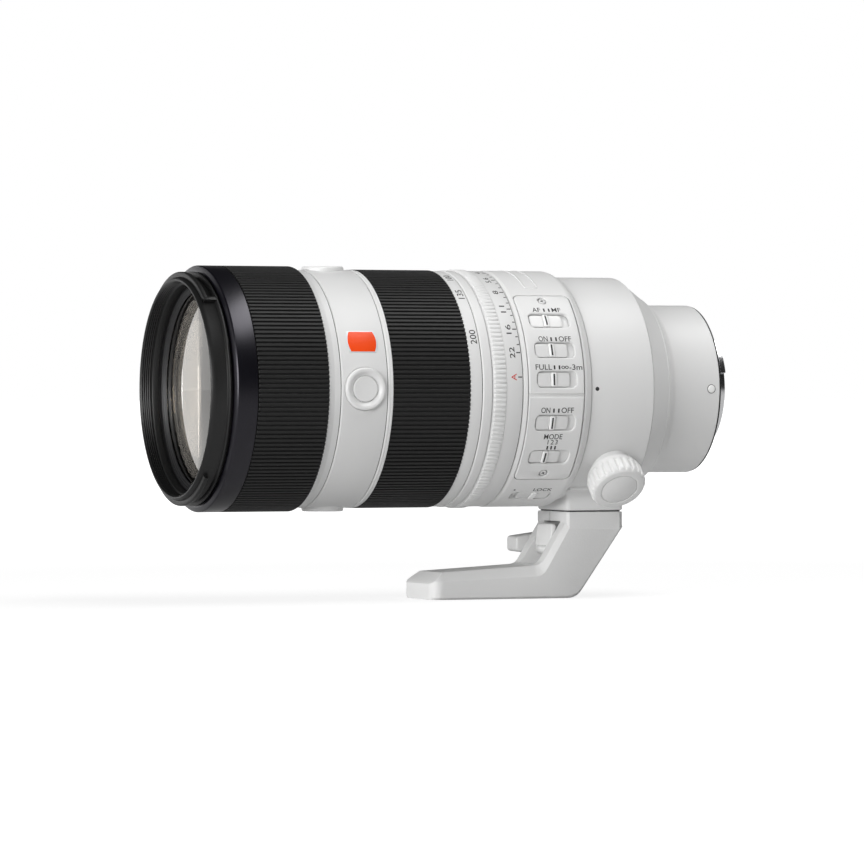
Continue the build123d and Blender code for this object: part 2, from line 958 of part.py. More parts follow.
def front_focus_cell():
    rear = front_focus_front + front_focus_width
    bore = front_focus_glass + seat_clearance
    body = turned(
        (front_focus_front, bore),
        (rear, bore),
        (rear, bore + focus_cell_wall),
        (front_focus_front + focus_flange_width, bore + focus_cell_wall),
        (front_focus_front + focus_flange_width, front_focus_radius),
        (front_focus_front, front_focus_radius),
    )
    for angle in rod_angles:
        body -= rod(front_focus_front - overrun, rear + overrun, front_rod_circle, angle,
                    rod_radius + rod_clearance)
    return body


def front_focus_element():
    return glass(front_focus_front + focus_glass_setback, focus_glass_edge, front_focus_glass,
                 focus_glass_curve, -focus_glass_rear_curve)


def rear_focus_cell():
    rear = rear_focus_front + rear_focus_width
    bore = rear_focus_glass + seat_clearance
    body = turned(
        (rear_focus_front, bore),
        (rear, bore),
        (rear, bore + focus_cell_wall),
        (rear_focus_front + focus_flange_width, bore + focus_cell_wall),
        (rear_focus_front + focus_flange_width, rear_focus_radius),
        (rear_focus_front, rear_focus_radius),
    )
    for angle in rod_angles:
        body -= rod(rear_focus_front - overrun, rear + overrun, rear_rod_circle, angle,
                    rod_radius + rod_clearance)
    return body


def rear_focus_element():
    return glass(rear_focus_front + focus_glass_setback, focus_glass_edge, rear_focus_glass,
                 -focus_glass_rear_curve, focus_glass_curve)


def guide_rods():
    solids = []
    for angle in rod_angles:
        solids.append(rod(shelf_front, iris_unit_front, front_rod_circle, angle, rod_radius))
        solids.append(rod(sleeve_front, rear_cell_start, rear_rod_circle, angle, rod_radius))
    return solids


def iris_housing():
    outer = core_bore - seat_clearance
    return turned(
        (iris_unit_front, iris_bore),
        (iris_unit_front + iris_wall, iris_bore),
        (iris_unit_front + iris_wall, iris_chamber_radius),
        (iris_unit_rear - iris_wall, iris_chamber_radius),
        (iris_unit_rear - iris_wall, iris_bore),
        (iris_unit_rear, iris_bore),
        (iris_unit_rear, outer),
        (iris_unit_front, outer),
    )


def iris_blades():
    solids = []
    first = iris_unit_front + iris_wall + blade_front_gap
    for k in range(blade_count):
        front = first + blade_pitch * k
        low = 360 / blade_count * k
        solids.append(sector(front, front + blade_sheet, blade_inner, blade_inner + blade_width,
                             low, low + blade_span))
    return solids


def stabiliser_slide():
    return ring(slide_front, slide_front + slide_width, slide_bore, slide_radius)


def stabiliser_cell():
    front = stabiliser_cell_front
    return ring(front, front + stabiliser_cell_width,
                stabiliser_glass + seat_clearance, stabiliser_cell_radius)


def stabiliser_element():
    return glass(stabiliser_cell_front + cell_wall / 2, stabiliser_glass_edge, stabiliser_glass,
                 -stabiliser_glass_curve, -stabiliser_glass_curve)


def rear_barrel():
    flange_radius = core_bore - seat_clearance
    taper_bore = sleeve_bore
    taper_inner_front = rear_front + taper_wall_front
    taper_inner_rear = taper_inner_front + taper_inner_run
    points = [
        (sleeve_front, sleeve_shelf_bore),
        (sleeve_shelf_rear, sleeve_shelf_bore),
        (sleeve_shelf_rear, taper_bore),
        (taper_inner_front, taper_bore),
        (taper_inner_rear, rear_tube_bore),
        (mount_shelf_front, rear_tube_bore),
        (mount_shelf_front, mount_shelf_bore),
        (mount_shelf_rear, mount_shelf_bore),
        (mount_shelf_rear, rear_tube_bore),
        (rear_end, rear_tube_bore),
        (rear_end, rear_tube_radius - edge),
        (rear_end - edge, rear_tube_radius),
        (tube_front, rear_tube_radius),
    ]
    inner = [(at(station), radius) for station, radius in points]
    cove_end = (at(cove_front), taper_rear_radius)
    cove_middle = (at(cove_front + rear_cove_width * cove_run_share),
                   rear_tube_radius + (taper_rear_radius - rear_tube_radius) * cove_height_share)
    outer = [
        cove_end,
        (at(rear_front + edge), taper_front_radius),
        (at(rear_front), taper_front_radius - edge),
        (at(rear_front), sleeve_radius),
        (at(core_rear), sleeve_radius),
        (at(core_rear), flange_radius),
        (at(sleeve_front), flange_radius),
        inner[0],
    ]
    outline = Polyline(*inner) + ThreePointArc(inner[-1], cove_middle, cove_end) + Polyline(*outer)
    body = revolve(make_face(outline), Axis.X, 360)
    for angle in rod_angles:
        body -= rod(sleeve_front - overrun, sleeve_shelf_rear + overrun, rear_rod_circle, angle,
                    rod_radius + rod_clearance)
    for angle in mount_screw_angles():
        body -= rod(mount_shelf_front - overrun, mount_shelf_rear + overrun, mount_screw_circle, angle,
                    mount_screw_shank_radius + mount_screw_clearance)
    body -= post(rear_end - bead_setback, 0, bead_radius + seat_clearance, rear_tube_radius - bead_depth,
                 rear_tube_radius + overrun)
    return body


def mount_index_bead():
    top = rear_tube_radius + bead_height
    bead = post(rear_end - bead_setback, 0, bead_radius, rear_tube_radius - bead_depth, top)
    return fillet(bead.edges().group_by(Axis.Y)[0], bead_height)


def rear_cell():
    front_flange = sleeve_bore - seat_clearance
    seat = rear_tube_bore - seat_clearance
    body = turned(
        (rear_cell_start, rear_cell_bore),
        (rear_cell_end, rear_cell_bore),
        (rear_cell_end, seat),
        (rear_cell_seat_front, seat),
        (rear_cell_seat_front, rear_cell_radius),
        (rear_cell_start + rear_cell_flange_width, rear_cell_radius),
        (rear_cell_start + rear_cell_flange_width, front_flange),
        (rear_cell_start, front_flange),
    )
    return body


def rear_elements():
    radius = rear_cell_bore - seat_clearance
    solids = []
    for k in range(rear_glass_count):
        front = rear_cell_start + rear_glass_setback + (rear_glass_edge + rear_glass_gap) * k
        side = 1 if k % 2 == 0 else -1
        solids.append(glass(front, rear_glass_edge, radius, side * rear_glass_curve, rear_glass_curve * 2))
    return solids


def mount_screw_angles():
    return [mount_screw_first_angle + 360 / mount_screw_count * k for k in range(mount_screw_count)]


def mount_gasket():
    return ring(rear_end, rear_end + gasket_width, gasket_inner, gasket_outer)


def bayonet_mount():
    spigot_rear = lens_length + spigot_length
    body = turned(
        (mount_shelf_rear, spigot_bore),
        (spigot_rear, spigot_bore),
        (spigot_rear, spigot_radius),
        (lens_length - flange_relief, spigot_radius),
        (lens_length - flange_relief, flange_inner),
        (lens_length, flange_inner),
        (lens_length, flange_outer),
        (rear_end, flange_outer),
        (rear_end, rear_tube_bore - seat_clearance),
        (mount_shelf_rear, rear_tube_bore - seat_clearance),
    )
    for k in range(claw_count):
        low = claw_first_angle + 360 / claw_count * k
        body += sector(spigot_rear - claw_width, spigot_rear, spigot_radius - edge, claw_radius,
                       low, low + claw_span)
    for angle in mount_screw_angles():
        body -= rod(lens_length - mount_screw_head, lens_length + overrun, mount_screw_circle, angle,
                    mount_screw_head_radius + mount_screw_clearance)
        body -= rod(mount_shelf_rear - overrun, lens_length, mount_screw_circle, angle,
                    mount_screw_shank_radius + mount_screw_clearance)
    return body


def mount_screws():
    solids = []
    for angle in mount_screw_angles():
        head = rod(lens_length - mount_screw_head, lens_length - seat_clearance, mount_screw_circle, angle,
                   mount_screw_head_radius)
        shank = rod(lens_length - mount_screw_length, lens_length - seat_clearance,
                    mount_screw_circle, angle, mount_screw_shank_radius)
        solids.append(head + shank)
    return solids


def baffle_front():
    return mount_shelf_rear + baffle_setback


def rear_baffle():
    body = ring(baffle_front(), baffle_front() + baffle_width, 0, spigot_bore - seat_clearance)
    window = Box(baffle_width + 2 * overrun, baffle_window_wide, baffle_window_high)
    return body - Pos(at(baffle_front() + baffle_width / 2), 0, 0) * window


def contact_front():
    return baffle_front() + baffle_width + seat_clearance


def contact_block():
    outer = spigot_bore - seat_clearance
    rear = contact_front() + contact_length
    body = sector(contact_front(), rear, outer - contact_depth, outer,
                  -90 - contact_span / 2, -90 + contact_span / 2)
    for angle in pin_angles():
        body -= rod(rear - pin_depth, rear + overrun, outer - contact_depth / 2, angle,
                    pin_radius + seat_clearance / 2)
    return body


def pin_angles():
    middle = (pin_count - 1) / 2
    return [-90 + pin_pitch_angle * (k - middle) for k in range(pin_count)]


def contact_pins():
    circle = spigot_bore - seat_clearance - contact_depth / 2
    rear = contact_front() + contact_length
    return [rod(rear - pin_depth, rear + pin_height, circle, angle, pin_radius) for angle in pin_angles()]


def prism(points, half_width):
    """A slab from (station, depth below the axis) points, spread to both sides."""
    outline = Polyline(*[(at(station), -depth) for station, depth in points], close=True)
    face = make_face(Plane.XZ * outline)
    return extrude(face, half_width, both=True)


def dovetail(front, rear, clearance):
    """The dovetail under the collar's block, or with clearance the channel for it."""
    top = block_drop - clearance
    bottom = block_drop + dovetail_height + clearance
    half_top = dovetail_top_width / 2 + clearance
    half_bottom = dovetail_bottom_width / 2 + clearance
    outline = Polyline(
        (half_top, -top),
        (half_bottom, -bottom),
        (-half_bottom, -bottom),
        (-half_top, -top),
        close=True,
    )
    plane = Plane(origin=(at(front), 0, 0), x_dir=(0, 1, 0), z_dir=(1, 0, 0))
    return extrude(plane * make_face(outline), rear - front)


def tripod_collar():
    bore = sleeve_radius + turn_clearance
    body = ring(collar_front, collar_rear, bore, collar_radius, edge)
    block_points = [
        (block_front, bore + edge),
        (block_rear, bore + edge),
        (block_rear, block_drop),
        (block_front, block_drop),
    ]
    block = prism(block_points, block_width / 2)
    upright = block.edges().filter_by(Axis.Z)
    block = fillet(upright, block_edge)
    block = chamfer(block.faces().sort_by(Axis.Z)[0].edges(), block_chamfer)
    body += block
    body += dovetail(dovetail_front, dovetail_rear, 0)
    body += post(knob_station, knob_angle, boss_radius, bore + edge, boss_top)
    body -= ring(collar_front - overrun, collar_rear + overrun, 0, bore)
    body -= post(knob_station, knob_angle, shoe_radius + shoe_clearance, 0,
                 shoe_top() + clamp_thread_pitch + shoe_clearance)
    body -= post(knob_station, knob_angle, clamp_screw_radius + clamp_screw_clearance,
                 0, boss_top + overrun)
    return body


def shoe_top():
    return sleeve_radius + turn_clearance + shoe_height


def clamp_shoe():
    shoe = post(knob_station, knob_angle, shoe_radius, sleeve_radius - overrun, shoe_top())
    return shoe - ring(collar_front - overrun, collar_rear + overrun, 0, sleeve_radius + seat_clearance)


def clamp_screw():
    return post(knob_station, knob_angle, clamp_screw_radius, shoe_top(), knob_base + clamp_screw_grip)


def lock_knob():
    local = Pos(0, 0, knob_base)
    above_skirt = Pos(0, 0, knob_base + knob_skirt_height)
    body = local * extrude(Circle(knob_skirt_radius), knob_skirt_height)
    body += above_skirt * extrude(Circle(knob_radius), knob_rib_height + edge)
    body += local * extrude(Circle(knob_face_radius), knob_height)
    rib = above_skirt * Pos(knob_radius, 0, 0) * extrude(
        Rectangle(2 * (knob_rib_radius - knob_radius), knob_rib_width), knob_rib_height)
    for k in range(knob_rib_count):
        body += Rot(Z=360 / knob_rib_count * k) * rib
    groove = Circle(knob_inlay_radius + knob_groove) - Circle(knob_inlay_radius)
    groove = extrude(groove, knob_groove + overrun)
    body -= Pos(0, 0, knob_base + knob_height - knob_groove) * groove
    hole = extrude(Circle(clamp_screw_radius + seat_clearance), clamp_screw_grip + seat_clearance + overrun)
    body -= Pos(0, 0, knob_base - overrun) * hole
    return spot(knob_station, 0, knob_angle) * body


def tripod_foot():
    half = foot_width / 2
    neck_station = foot_rear - neck_foot_place
    points = [
        (foot_rear, foot_top),
        (foot_rear, foot_heel_depth),
        (foot_rear - foot_slant_place, foot_slant_depth),
        (foot_rear - foot_slant_place - foot_heel_run, foot_depth),
        (foot_toe, foot_depth),
        (foot_toe, toe_nose_depth),
        (foot_toe + toe_nose_run, toe_top_depth),
        (neck_station, neck_foot_depth),
        (foot_front, foot_top + jaw_depth),
        (foot_front, foot_top),
    ]
    body = prism(points, half)
    neck_edges = [e for e in body.edges().filter_by(GeomType.LINE)
                  if at(neck_station) < e.center().X < at(foot_front)
                  and -neck_foot_depth < e.center().Z < -foot_top - jaw_depth
                  and abs(e.center().Y) > half - edge]
    body = chamfer(neck_edges, neck_chamfer)
    toe_uprights = [e for e in body.edges().filter_by(Axis.Z) if e.center().X < at(foot_toe) + edge]
    body = fillet(toe_uprights, toe_corner)
    wedge_low = toe_top_depth + toe_chamfer
    for side in (1, -1):
        corner = Polyline(
            (side * half, -wedge_low),
            (side * (half + overrun), -wedge_low),
            (side * (half + overrun), -neck_foot_depth + overrun),
            (side * (half - toe_chamfer), -neck_foot_depth + overrun),
            (side * (half - toe_chamfer), -toe_top_depth),
            close=True,
        )
        plane = Plane(origin=(at(foot_toe) - overrun, 0, 0), x_dir=(0, 1, 0), z_dir=(1, 0, 0))
        body -= extrude(plane * make_face(corner), toe_length + overrun - toe_chamfer)
    body -= dovetail(dovetail_front - dovetail_clearance, foot_rear + overrun, dovetail_clearance)
    slit = Box(dovetail_front - foot_front + overrun, slit_width, slit_depth + overrun)
    body -= Pos(at((dovetail_front + foot_front) / 2), slit_offset,
                -foot_top - slit_depth / 2 + overrun / 2) * slit
    window_rear = foot_rear - window_rear_place
    window = Box(window_rear - neck_station + overrun, window_width, neck_foot_depth - window_top)
    body -= Pos(at((window_rear + neck_station - overrun) / 2), 0,
                -(window_top + neck_foot_depth) / 2) * window
    body -= lever_shaft(lever_shaft_clearance)
    body -= tab_pin(tab_pin_clearance)
    socket = extrude(Circle(socket_radius + socket_wall), socket_depth)
    return body - Pos(at(foot_toe + socket_place), 0, -foot_depth) * socket


def foot_socket():
    tube = Circle(socket_radius + socket_wall) - Circle(socket_radius)
    return Pos(at(foot_toe + socket_place), 0, -foot_depth) * extrude(tube, socket_depth)


def lever_shaft(clearance):
    plane = Plane(origin=(at(lever_hub_station), lever_hub_front, -lever_hub_depth), x_dir=(1, 0, 0),
                  z_dir=(0, -1, 0))
    return extrude(plane * Circle(lever_shaft_radius + clearance), lever_shaft_length + clearance)


def foot_lever():
    hub_plane = Plane(origin=(at(lever_hub_station), lever_hub_front, -lever_hub_depth), x_dir=(-1, 0, 0),
                      z_dir=(0, 1, 0))
    hub = extrude(hub_plane * Circle(lever_hub_radius), lever_hub_width)
    half_root = lever_arm_height / 2
    half_tip = lever_tip_height / 2
    points = [
        (lever_hub_station, lever_hub_depth - half_root),
        (lever_hub_station - lever_arm_reach, lever_hub_depth - half_tip),
        (lever_hub_station - lever_arm_reach, lever_hub_depth + half_tip),
        (lever_hub_station, lever_hub_depth + half_root),
    ]
    outline = Polyline(*[(at(station), -depth) for station, depth in points], close=True)
    arm = extrude(make_face(Plane.XZ * outline), lever_arm_width / 2, both=True)
    arm = Pos(0, lever_hub_front + lever_arm_width / 2, 0) * arm
    tip = arm.edges().filter_by(Axis.Y).group_by(Axis.X)[0]
    arm = fillet(tip, lever_arm_edge)
    return hub + arm + lever_shaft(0)


def tab_pin(clearance):
    reach = tab_width / 2 + tab_pin_reach + clearance
    plane = Plane(origin=(at(tab_pin_station), reach, -tab_pin_depth), x_dir=(1, 0, 0), z_dir=(0, -1, 0))
    return extrude(plane * Circle(tab_pin_radius + clearance), 2 * reach)


def release_tab():
    foot = tab_station - tab_lean
    points = [
        (tab_station, tab_top),
        (tab_station + tab_sheet, tab_top),
        (foot + tab_sheet, tab_bottom),
        (foot, tab_bottom),
    ]
    body = prism(points, tab_width / 2)
    top = body.edges().filter_by(Axis.Y).group_by(Axis.Z)[-1]
    body = fillet(top, tab_edge)
    boss_plane = Plane(origin=(at(tab_pin_station), tab_boss_width / 2, -tab_pin_depth), x_dir=(1, 0, 0),
                       z_dir=(0, -1, 0))
    body += extrude(boss_plane * Circle(tab_boss_radius), tab_boss_width)
    arm_top = tab_top + tab_edge
    latch = [
        (tab_station + tab_sheet / 2, arm_top),
        (latch_nose_front, arm_top),
        (latch_nose_front, latch_nose_top),
        (latch_nose_front + latch_nose_width, latch_nose_top),
        (latch_nose_front + latch_nose_width, arm_top + latch_sheet),
        (tab_station + tab_sheet / 2, arm_top + latch_sheet),
    ]
    return body + prism(latch, latch_width / 2) + tab_pin(0)


pieces = {
    "filter_ring": filter_ring,
    "name_ring": name_ring,
    "core_tube": core_tube,
    "front_retainer": front_retainer,
    "front_cell": front_cell,
    "front_elements": front_elements,
    "focus_ring": focus_ring,
    "focus_grip": focus_grip,
    "front_band": front_band,
    "button_bezels": button_bezels,
    "badge_plate": badge_plate,
    "zoom_ring": zoom_ring,
    "zoom_grip": zoom_grip,
    "zoom_cam": zoom_cam,
    "variator_cell": variator_cell,
    "variator_elements": variator_elements,
    "index_ring": index_ring,
    "aperture_ring": aperture_ring,
    "switch_barrel": switch_barrel,
    "upper_switch_plate": upper_switch_plate,
    "lower_switch_plate": lower_switch_plate,
    "plate_screws": plate_screws,
    "front_focus_cell": front_focus_cell,
    "front_focus_element": front_focus_element,
    "rear_focus_cell": rear_focus_cell,
    "rear_focus_element": rear_focus_element,
    "guide_rods": guide_rods,
    "iris_housing": iris_housing,
    "iris_blades": iris_blades,
    "stabiliser_slide": stabiliser_slide,
    "stabiliser_cell": stabiliser_cell,
    "stabiliser_element": stabiliser_element,
    "rear_barrel": rear_barrel,
    "mount_index_bead": mount_index_bead,
    "rear_cell": rear_cell,
    "rear_elements": rear_elements,
    "mount_gasket": mount_gasket,
    "bayonet_mount": bayonet_mount,
    "mount_screws": mount_screws,
    "rear_baffle": rear_baffle,
    "contact_block": contact_block,
    "contact_pins": contact_pins,
    "tripod_collar": tripod_collar,
    "clamp_shoe": clamp_shoe,
    "clamp_screw": clamp_screw,
    "lock_knob": lock_knob,
    "tripod_foot": tripod_foot,
    "foot_socket": foot_socket,
    "foot_lever": foot_lever,
    "release_tab": release_tab,
}

os.makedirs("parts", exist_ok=True)


def save(name, made):
    """Write one node, which may hold several separate solids."""
    solids = made if isinstance(made, list) else [made]
    export_step(Compound(label=name, children=solids) if len(solids) > 1 else solids[0],
                "parts/" + name + ".step")


for name, make in pieces.items():
    save(name, make())

for name, angle in zip(("side_hold_button", "top_hold_button", "lower_hold_button"), button_angles):
    save(name, hold_button(angle))

for name in switches():
    save(name, slide_switch(name))
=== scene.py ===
from math import cos, degrees, pi, radians, sin, sqrt, tan

import bmesh
import bpy
from mathutils import Matrix, Vector


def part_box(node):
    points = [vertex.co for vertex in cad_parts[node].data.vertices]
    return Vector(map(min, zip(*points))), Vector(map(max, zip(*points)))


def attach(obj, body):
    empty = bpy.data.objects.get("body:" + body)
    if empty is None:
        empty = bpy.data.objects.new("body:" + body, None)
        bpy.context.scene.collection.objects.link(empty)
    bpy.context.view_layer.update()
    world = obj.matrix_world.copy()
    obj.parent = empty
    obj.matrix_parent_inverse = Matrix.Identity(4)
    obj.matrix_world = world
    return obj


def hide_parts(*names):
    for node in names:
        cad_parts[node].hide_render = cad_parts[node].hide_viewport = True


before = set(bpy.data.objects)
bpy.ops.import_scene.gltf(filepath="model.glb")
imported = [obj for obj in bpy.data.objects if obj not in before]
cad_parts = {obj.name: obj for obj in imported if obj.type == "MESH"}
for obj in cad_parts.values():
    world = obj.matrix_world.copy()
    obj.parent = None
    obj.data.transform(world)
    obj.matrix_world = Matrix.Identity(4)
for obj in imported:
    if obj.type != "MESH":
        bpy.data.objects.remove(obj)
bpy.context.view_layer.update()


# Core tube and the cells inside it
# The lens is built round one long aluminium tube. The cells slide into its bore from both
# ends, and all of it is turned, then anodised a dull black so that no light strays inside.

mm = 0.001


def finish(name, colour, roughness, metallic=0.0):
    """A new material, and its shader with the plain values set."""
    material = bpy.data.materials.new(name)
    material.use_nodes = True
    shader = material.node_tree.nodes["Principled BSDF"]
    shader.inputs["Base Color"].default_value = (*colour, 1)
    shader.inputs["Roughness"].default_value = roughness
    shader.inputs["Metallic"].default_value = metallic
    return material, shader


def shader_node(tree, kind, **values):
    """A new node with these inputs set. Two underscores in a name stand for a space."""
    node = tree.nodes.new("ShaderNode" + kind)
    for name, value in values.items():
        if hasattr(node, name):
            setattr(node, name, value)
        else:
            node.inputs[name.replace("__", " ")].default_value = value
    return node


def grain(material, size, detail=2.0):
    """Fine noise over the piece, in lumps of this size."""
    tree = material.node_tree
    place = shader_node(tree, "TexCoord")
    noise = shader_node(tree, "TexNoise", Scale=1 / size, Detail=detail)
    tree.links.new(place.outputs["Object"], noise.inputs["Vector"])
    return noise.outputs["Fac"]


def shaded(material, shader, source, dark, light):
    """Lets the colour wander between two tones."""
    tree = material.node_tree
    mix = shader_node(tree, "Mix", data_type="RGBA")
    mix.inputs[6].default_value = (*dark, 1)
    mix.inputs[7].default_value = (*light, 1)
    tree.links.new(source, mix.inputs[0])
    tree.links.new(mix.outputs[2], shader.inputs["Base Color"])


def dulled(material, shader, source, low, high):
    """Lets the roughness wander between two values."""
    tree = material.node_tree
    spread = shader_node(tree, "MapRange", To__Min=low, To__Max=high)
    tree.links.new(source, spread.inputs["Value"])
    tree.links.new(spread.outputs["Result"], shader.inputs["Roughness"])


def raised(material, shader, source, height, strength=1.0):
    """Raises the surface by the noise."""
    tree = material.node_tree
    bump = shader_node(tree, "Bump", Distance=height, Strength=strength)
    tree.links.new(source, bump.inputs["Height"])
    tree.links.new(bump.outputs["Normal"], shader.inputs["Normal"])


def surface(name, colour, roughness, metallic=0.0, lumps=0.25 * mm, tones=None, dull=None, bump=None,
            detail=2.0, broad=None, shine=0.5):
    """A finish whose colour wanders between two tones and its roughness between two values, and which
    is raised by a height and a strength, all over lumps of one size. Broad is the size for the tones."""
    material, shader = finish(name, colour, roughness, metallic)
    shader.inputs["Specular IOR Level"].default_value = shine
    fine = grain(material, lumps, detail)
    if tones:
        shaded(material, shader, grain(material, broad) if broad else fine, *tones)
    if dull:
        dulled(material, shader, fine, *dull)
    if bump:
        raised(material, shader, fine, *bump)
    return material


def dress(node, material):
    """Gives a carried-over piece its finish."""
    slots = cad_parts[node].data.materials
    slots.clear()
    slots.append(material)


anodised = surface("black_anodised", (0.02, 0.02, 0.021), 0.42, metallic=0.3, dull=(0.36, 0.5),
                   tones=((0.014, 0.014, 0.015), (0.03, 0.03, 0.031)), bump=(0.01 * mm, 0.5))
for node in ("core_tube", "front_cell", "zoom_cam", "variator_cell", "front_focus_cell", "rear_focus_cell",
             "iris_housing", "stabiliser_slide", "stabiliser_cell", "rear_cell", "clamp_shoe"):
    dress(node, anodised)


# Guide rods and clamp screw
# Ground steel rods, 2 mm across, that the two focus groups slide on without play. The clamp
# screw is turned from the same bright steel and runs in the collar's boss.

steel = surface("ground_steel", (0.56, 0.56, 0.57), 0.25, metallic=1.0, lumps=0.15 * mm, dull=(0.2, 0.34),
                tones=((0.5, 0.5, 0.51), (0.62, 0.62, 0.63)))
for node in ("guide_rods", "clamp_screw", "foot_socket"):
    dress(node, steel)


# Iris blades
# Eleven thin steel sheets, blackened, that overlap like scales round the opening. Each one
# pivots in the housing, and a motor closes them all at once.

blackened = surface("blackened_sheet", (0.016, 0.016, 0.017), 0.3, metallic=0.6, lumps=0.4 * mm,
                    tones=((0.01, 0.01, 0.011), (0.026, 0.026, 0.027)), dull=(0.26, 0.38))
dress("iris_blades", blackened)


# Lens elements
# Ground and polished optical glass, coated against reflections in faint green and violet,
# each one held in its cell by a retaining ring or by three spots of cement.

def polished_glass(name, tint, coating, bend=1.6, mirror=0.25):
    """Clear glass of this refractive index, and how much its coating mirrors."""
    material, shader = finish(name, tint, 0.0)
    shader.inputs["Transmission Weight"].default_value = 1.0
    shader.inputs["IOR"].default_value = bend
    shader.inputs["Coat Weight"].default_value = mirror
    shader.inputs["Coat Tint"].default_value = (*coating, 1)
    faint = grain(material, 30 * mm)
    dulled(material, shader, faint, 0.0, 0.012)
    return material


inner_glass = polished_glass("inner_glass", (0.96, 0.98, 0.97), (0.75, 1.0, 0.85))
for node in ("variator_elements", "front_focus_element", "rear_focus_element", "stabiliser_element",
             "rear_elements"):
    dress(node, inner_glass)


def lofted(name, loops, material, sharp=32, endless=False):
    """A skin over loops of points, all of one count. Its ends are closed, or it runs round endlessly."""
    count = len(loops[0])
    rows = len(loops)
    faces = [] if endless else [tuple(range(count)), tuple(range((rows - 1) * count, rows * count))]
    for row in range(rows if endless else rows - 1):
        here = row * count
        ahead = (row + 1) % rows * count
        for n in range(count):
            m = (n + 1) % count
            faces.append((here + n, here + m, ahead + m, ahead + n))
    mesh = bpy.data.meshes.new(name)
    mesh.from_pydata([point for loop in loops for point in loop], [], faces)
    return made(name, mesh, material, sharp)


def section(start, *points):
    """A section in mm. Each point is how far it lies past the start, its radius, and how far the
    grooves sink it, where they do."""
    return [(start + along * mm, radius * mm, sum(give) * mm) for along, radius, *give in points]


def round_point(x, radius, turn):
    """A point this far from the optical axis, at an angle in radians."""
    return x, -radius * cos(turn), radius * sin(turn)


def spun(name, outline, turns, place, material, sharp=32):
    """A closed section turned about the local Z axis. Each turn is an angle, and the share of their
    depth that the grooves have there."""
    loops = []
    for angle, sink in turns:
        reaches = [(along, radius - give * sink) for along, radius, give in outline]
        loops.append([place @ Vector((r * cos(angle), r * sin(angle), along)) for along, r in reaches])
    return lofted(name, loops, material, sharp, endless=True)


def made(name, mesh, material, sharp=32):
    """A piece from a mesh: faces outwards, smooth shading, and edges sharper than this many degrees kept."""
    work = bmesh.new()
    work.from_mesh(mesh)
    bmesh.ops.remove_doubles(work, verts=work.verts[:], dist=0.0005 * mm)
    bmesh.ops.recalc_face_normals(work, faces=work.faces[:])
    work.to_mesh(mesh)
    work.free()
    smoothed(mesh, sharp)
    mesh.materials.append(material)
    return placed(name, mesh)


def smoothed(mesh, sharp):
    """Smooth shading, with edges sharper than this many degrees kept."""
    mesh.shade_smooth()
    mesh.set_sharp_from_angle(angle=radians(sharp))


def placed(name, data):
    """A new object in the scene."""
    thing = bpy.data.objects.new(name, data)
    bpy.context.scene.collection.objects.link(thing)
    return thing


def plain(outline):
    """The same outline, with no give."""
    return [(along, radius, 0) for along, radius in outline]


def even_turns(count):
    return [(2 * pi * k / count, 0) for k in range(count)]


# Local Z runs along the optical axis, and the angle 0 lies on the switch side
optical_axis = Matrix(((0, 0, 1, 0), (-1, 0, 0, 0), (0, 1, 0, 0), (0, 0, 0, 1)))
smooth_round = even_turns(288)


def turned(name, outline, material, sharp=32):
    """A full ring, turned about the optical axis."""
    return spun(name, outline, smooth_round, optical_axis, material, sharp)


def belongs(piece, body, slot, *nodes):
    """The piece moves with a body, and stands for these nodes. The slot is not used."""
    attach(piece, body)
    if nodes:
        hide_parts(*nodes)
    return piece


def sphere_face(edge_x, rim, curve, steps):
    """Points of a spherical face, from the axis out to its rim. A negative curve is hollow."""
    flat = sqrt(curve * curve - rim * rim)
    side = 1 if curve > 0 else -1
    points = []
    for k in range(steps + 1):
        radius = rim * k / steps
        bulge = side * (sqrt(curve * curve - radius * radius) - flat)
        points.append((edge_x, bulge, radius))
    return points


def element(name, front_x, edge_width, rim, front_curve, rear_curve, material):
    """A lens element, with a narrow ground bevel round each face."""
    steps = 24
    bevel = 0.35 * mm
    face = rim - bevel
    rear_x = front_x + edge_width
    front = [(x - bulge, radius) for x, bulge, radius in sphere_face(front_x, face, front_curve, steps)]
    rear = [(x + bulge, radius) for x, bulge, radius in sphere_face(rear_x, face, rear_curve, steps)]
    sides = [(front_x + bevel, rim), (rear_x - bevel, rim)]
    return turned(name, plain(front + sides + rear[::-1]), material)


front_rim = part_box("filter_ring")[0].x
front_glass = polished_glass("front_glass", (0.97, 0.97, 0.97), (1.0, 0.98, 0.95), 1.75, 1.0)
glass_x = front_rim

# Each one's step behind the last, its edge, its radius, and the curves of its two faces, in mm
for name, step, edge, rim, front_curve, rear_curve in (
    ("front_glass_first", 9.5, 3.0, 36.3, 190, -900),
    ("front_glass_second", 5.0, 3.4, 33.5, 300, -150),
    ("front_glass_third", 7.5, 5.5, 33.5, 110, 260),
):
    glass_x += step * mm
    glass = element(name, glass_x, edge * mm, rim * mm, front_curve * mm, rear_curve * mm, front_glass)
    belongs(glass, "barrel", "optical_glass", "front_elements")


# Front retaining rings
# Thin turned aluminium rings, black anodised, that screw down on the front glass. They step
# down towards it, and their edges are eased, so each one shows as a fine line.

def corner_points(corner, back, ahead, reach, steps):
    """Points that round a corner, from one of its sides to the other."""
    start = corner + back.normalized() * reach
    end = corner + ahead.normalized() * reach
    shares = [n / steps for n in range(steps + 1)]
    return [start * (1 - t) ** 2 + corner * (2 * t * (1 - t)) + end * t ** 2 for t in shares]


def eased(outline, ease, turns=3):
    """The outline with each corner rounded by this radius."""
    points = []
    count = len(outline)
    for k in range(count):
        corner = Vector(outline[k][:2])
        give = outline[k][2]
        back = Vector(outline[k - 1][:2]) - corner
        ahead = Vector(outline[(k + 1) % count][:2]) - corner
        angle = back.angle(ahead)
        if angle > radians(172):
            points.append((*corner, give))
            continue
        reach = min(ease / tan(angle / 2), back.length * 0.45, ahead.length * 0.45)
        for point in corner_points(corner, back, ahead, reach, turns):
            points.append((*point, give))
    return points


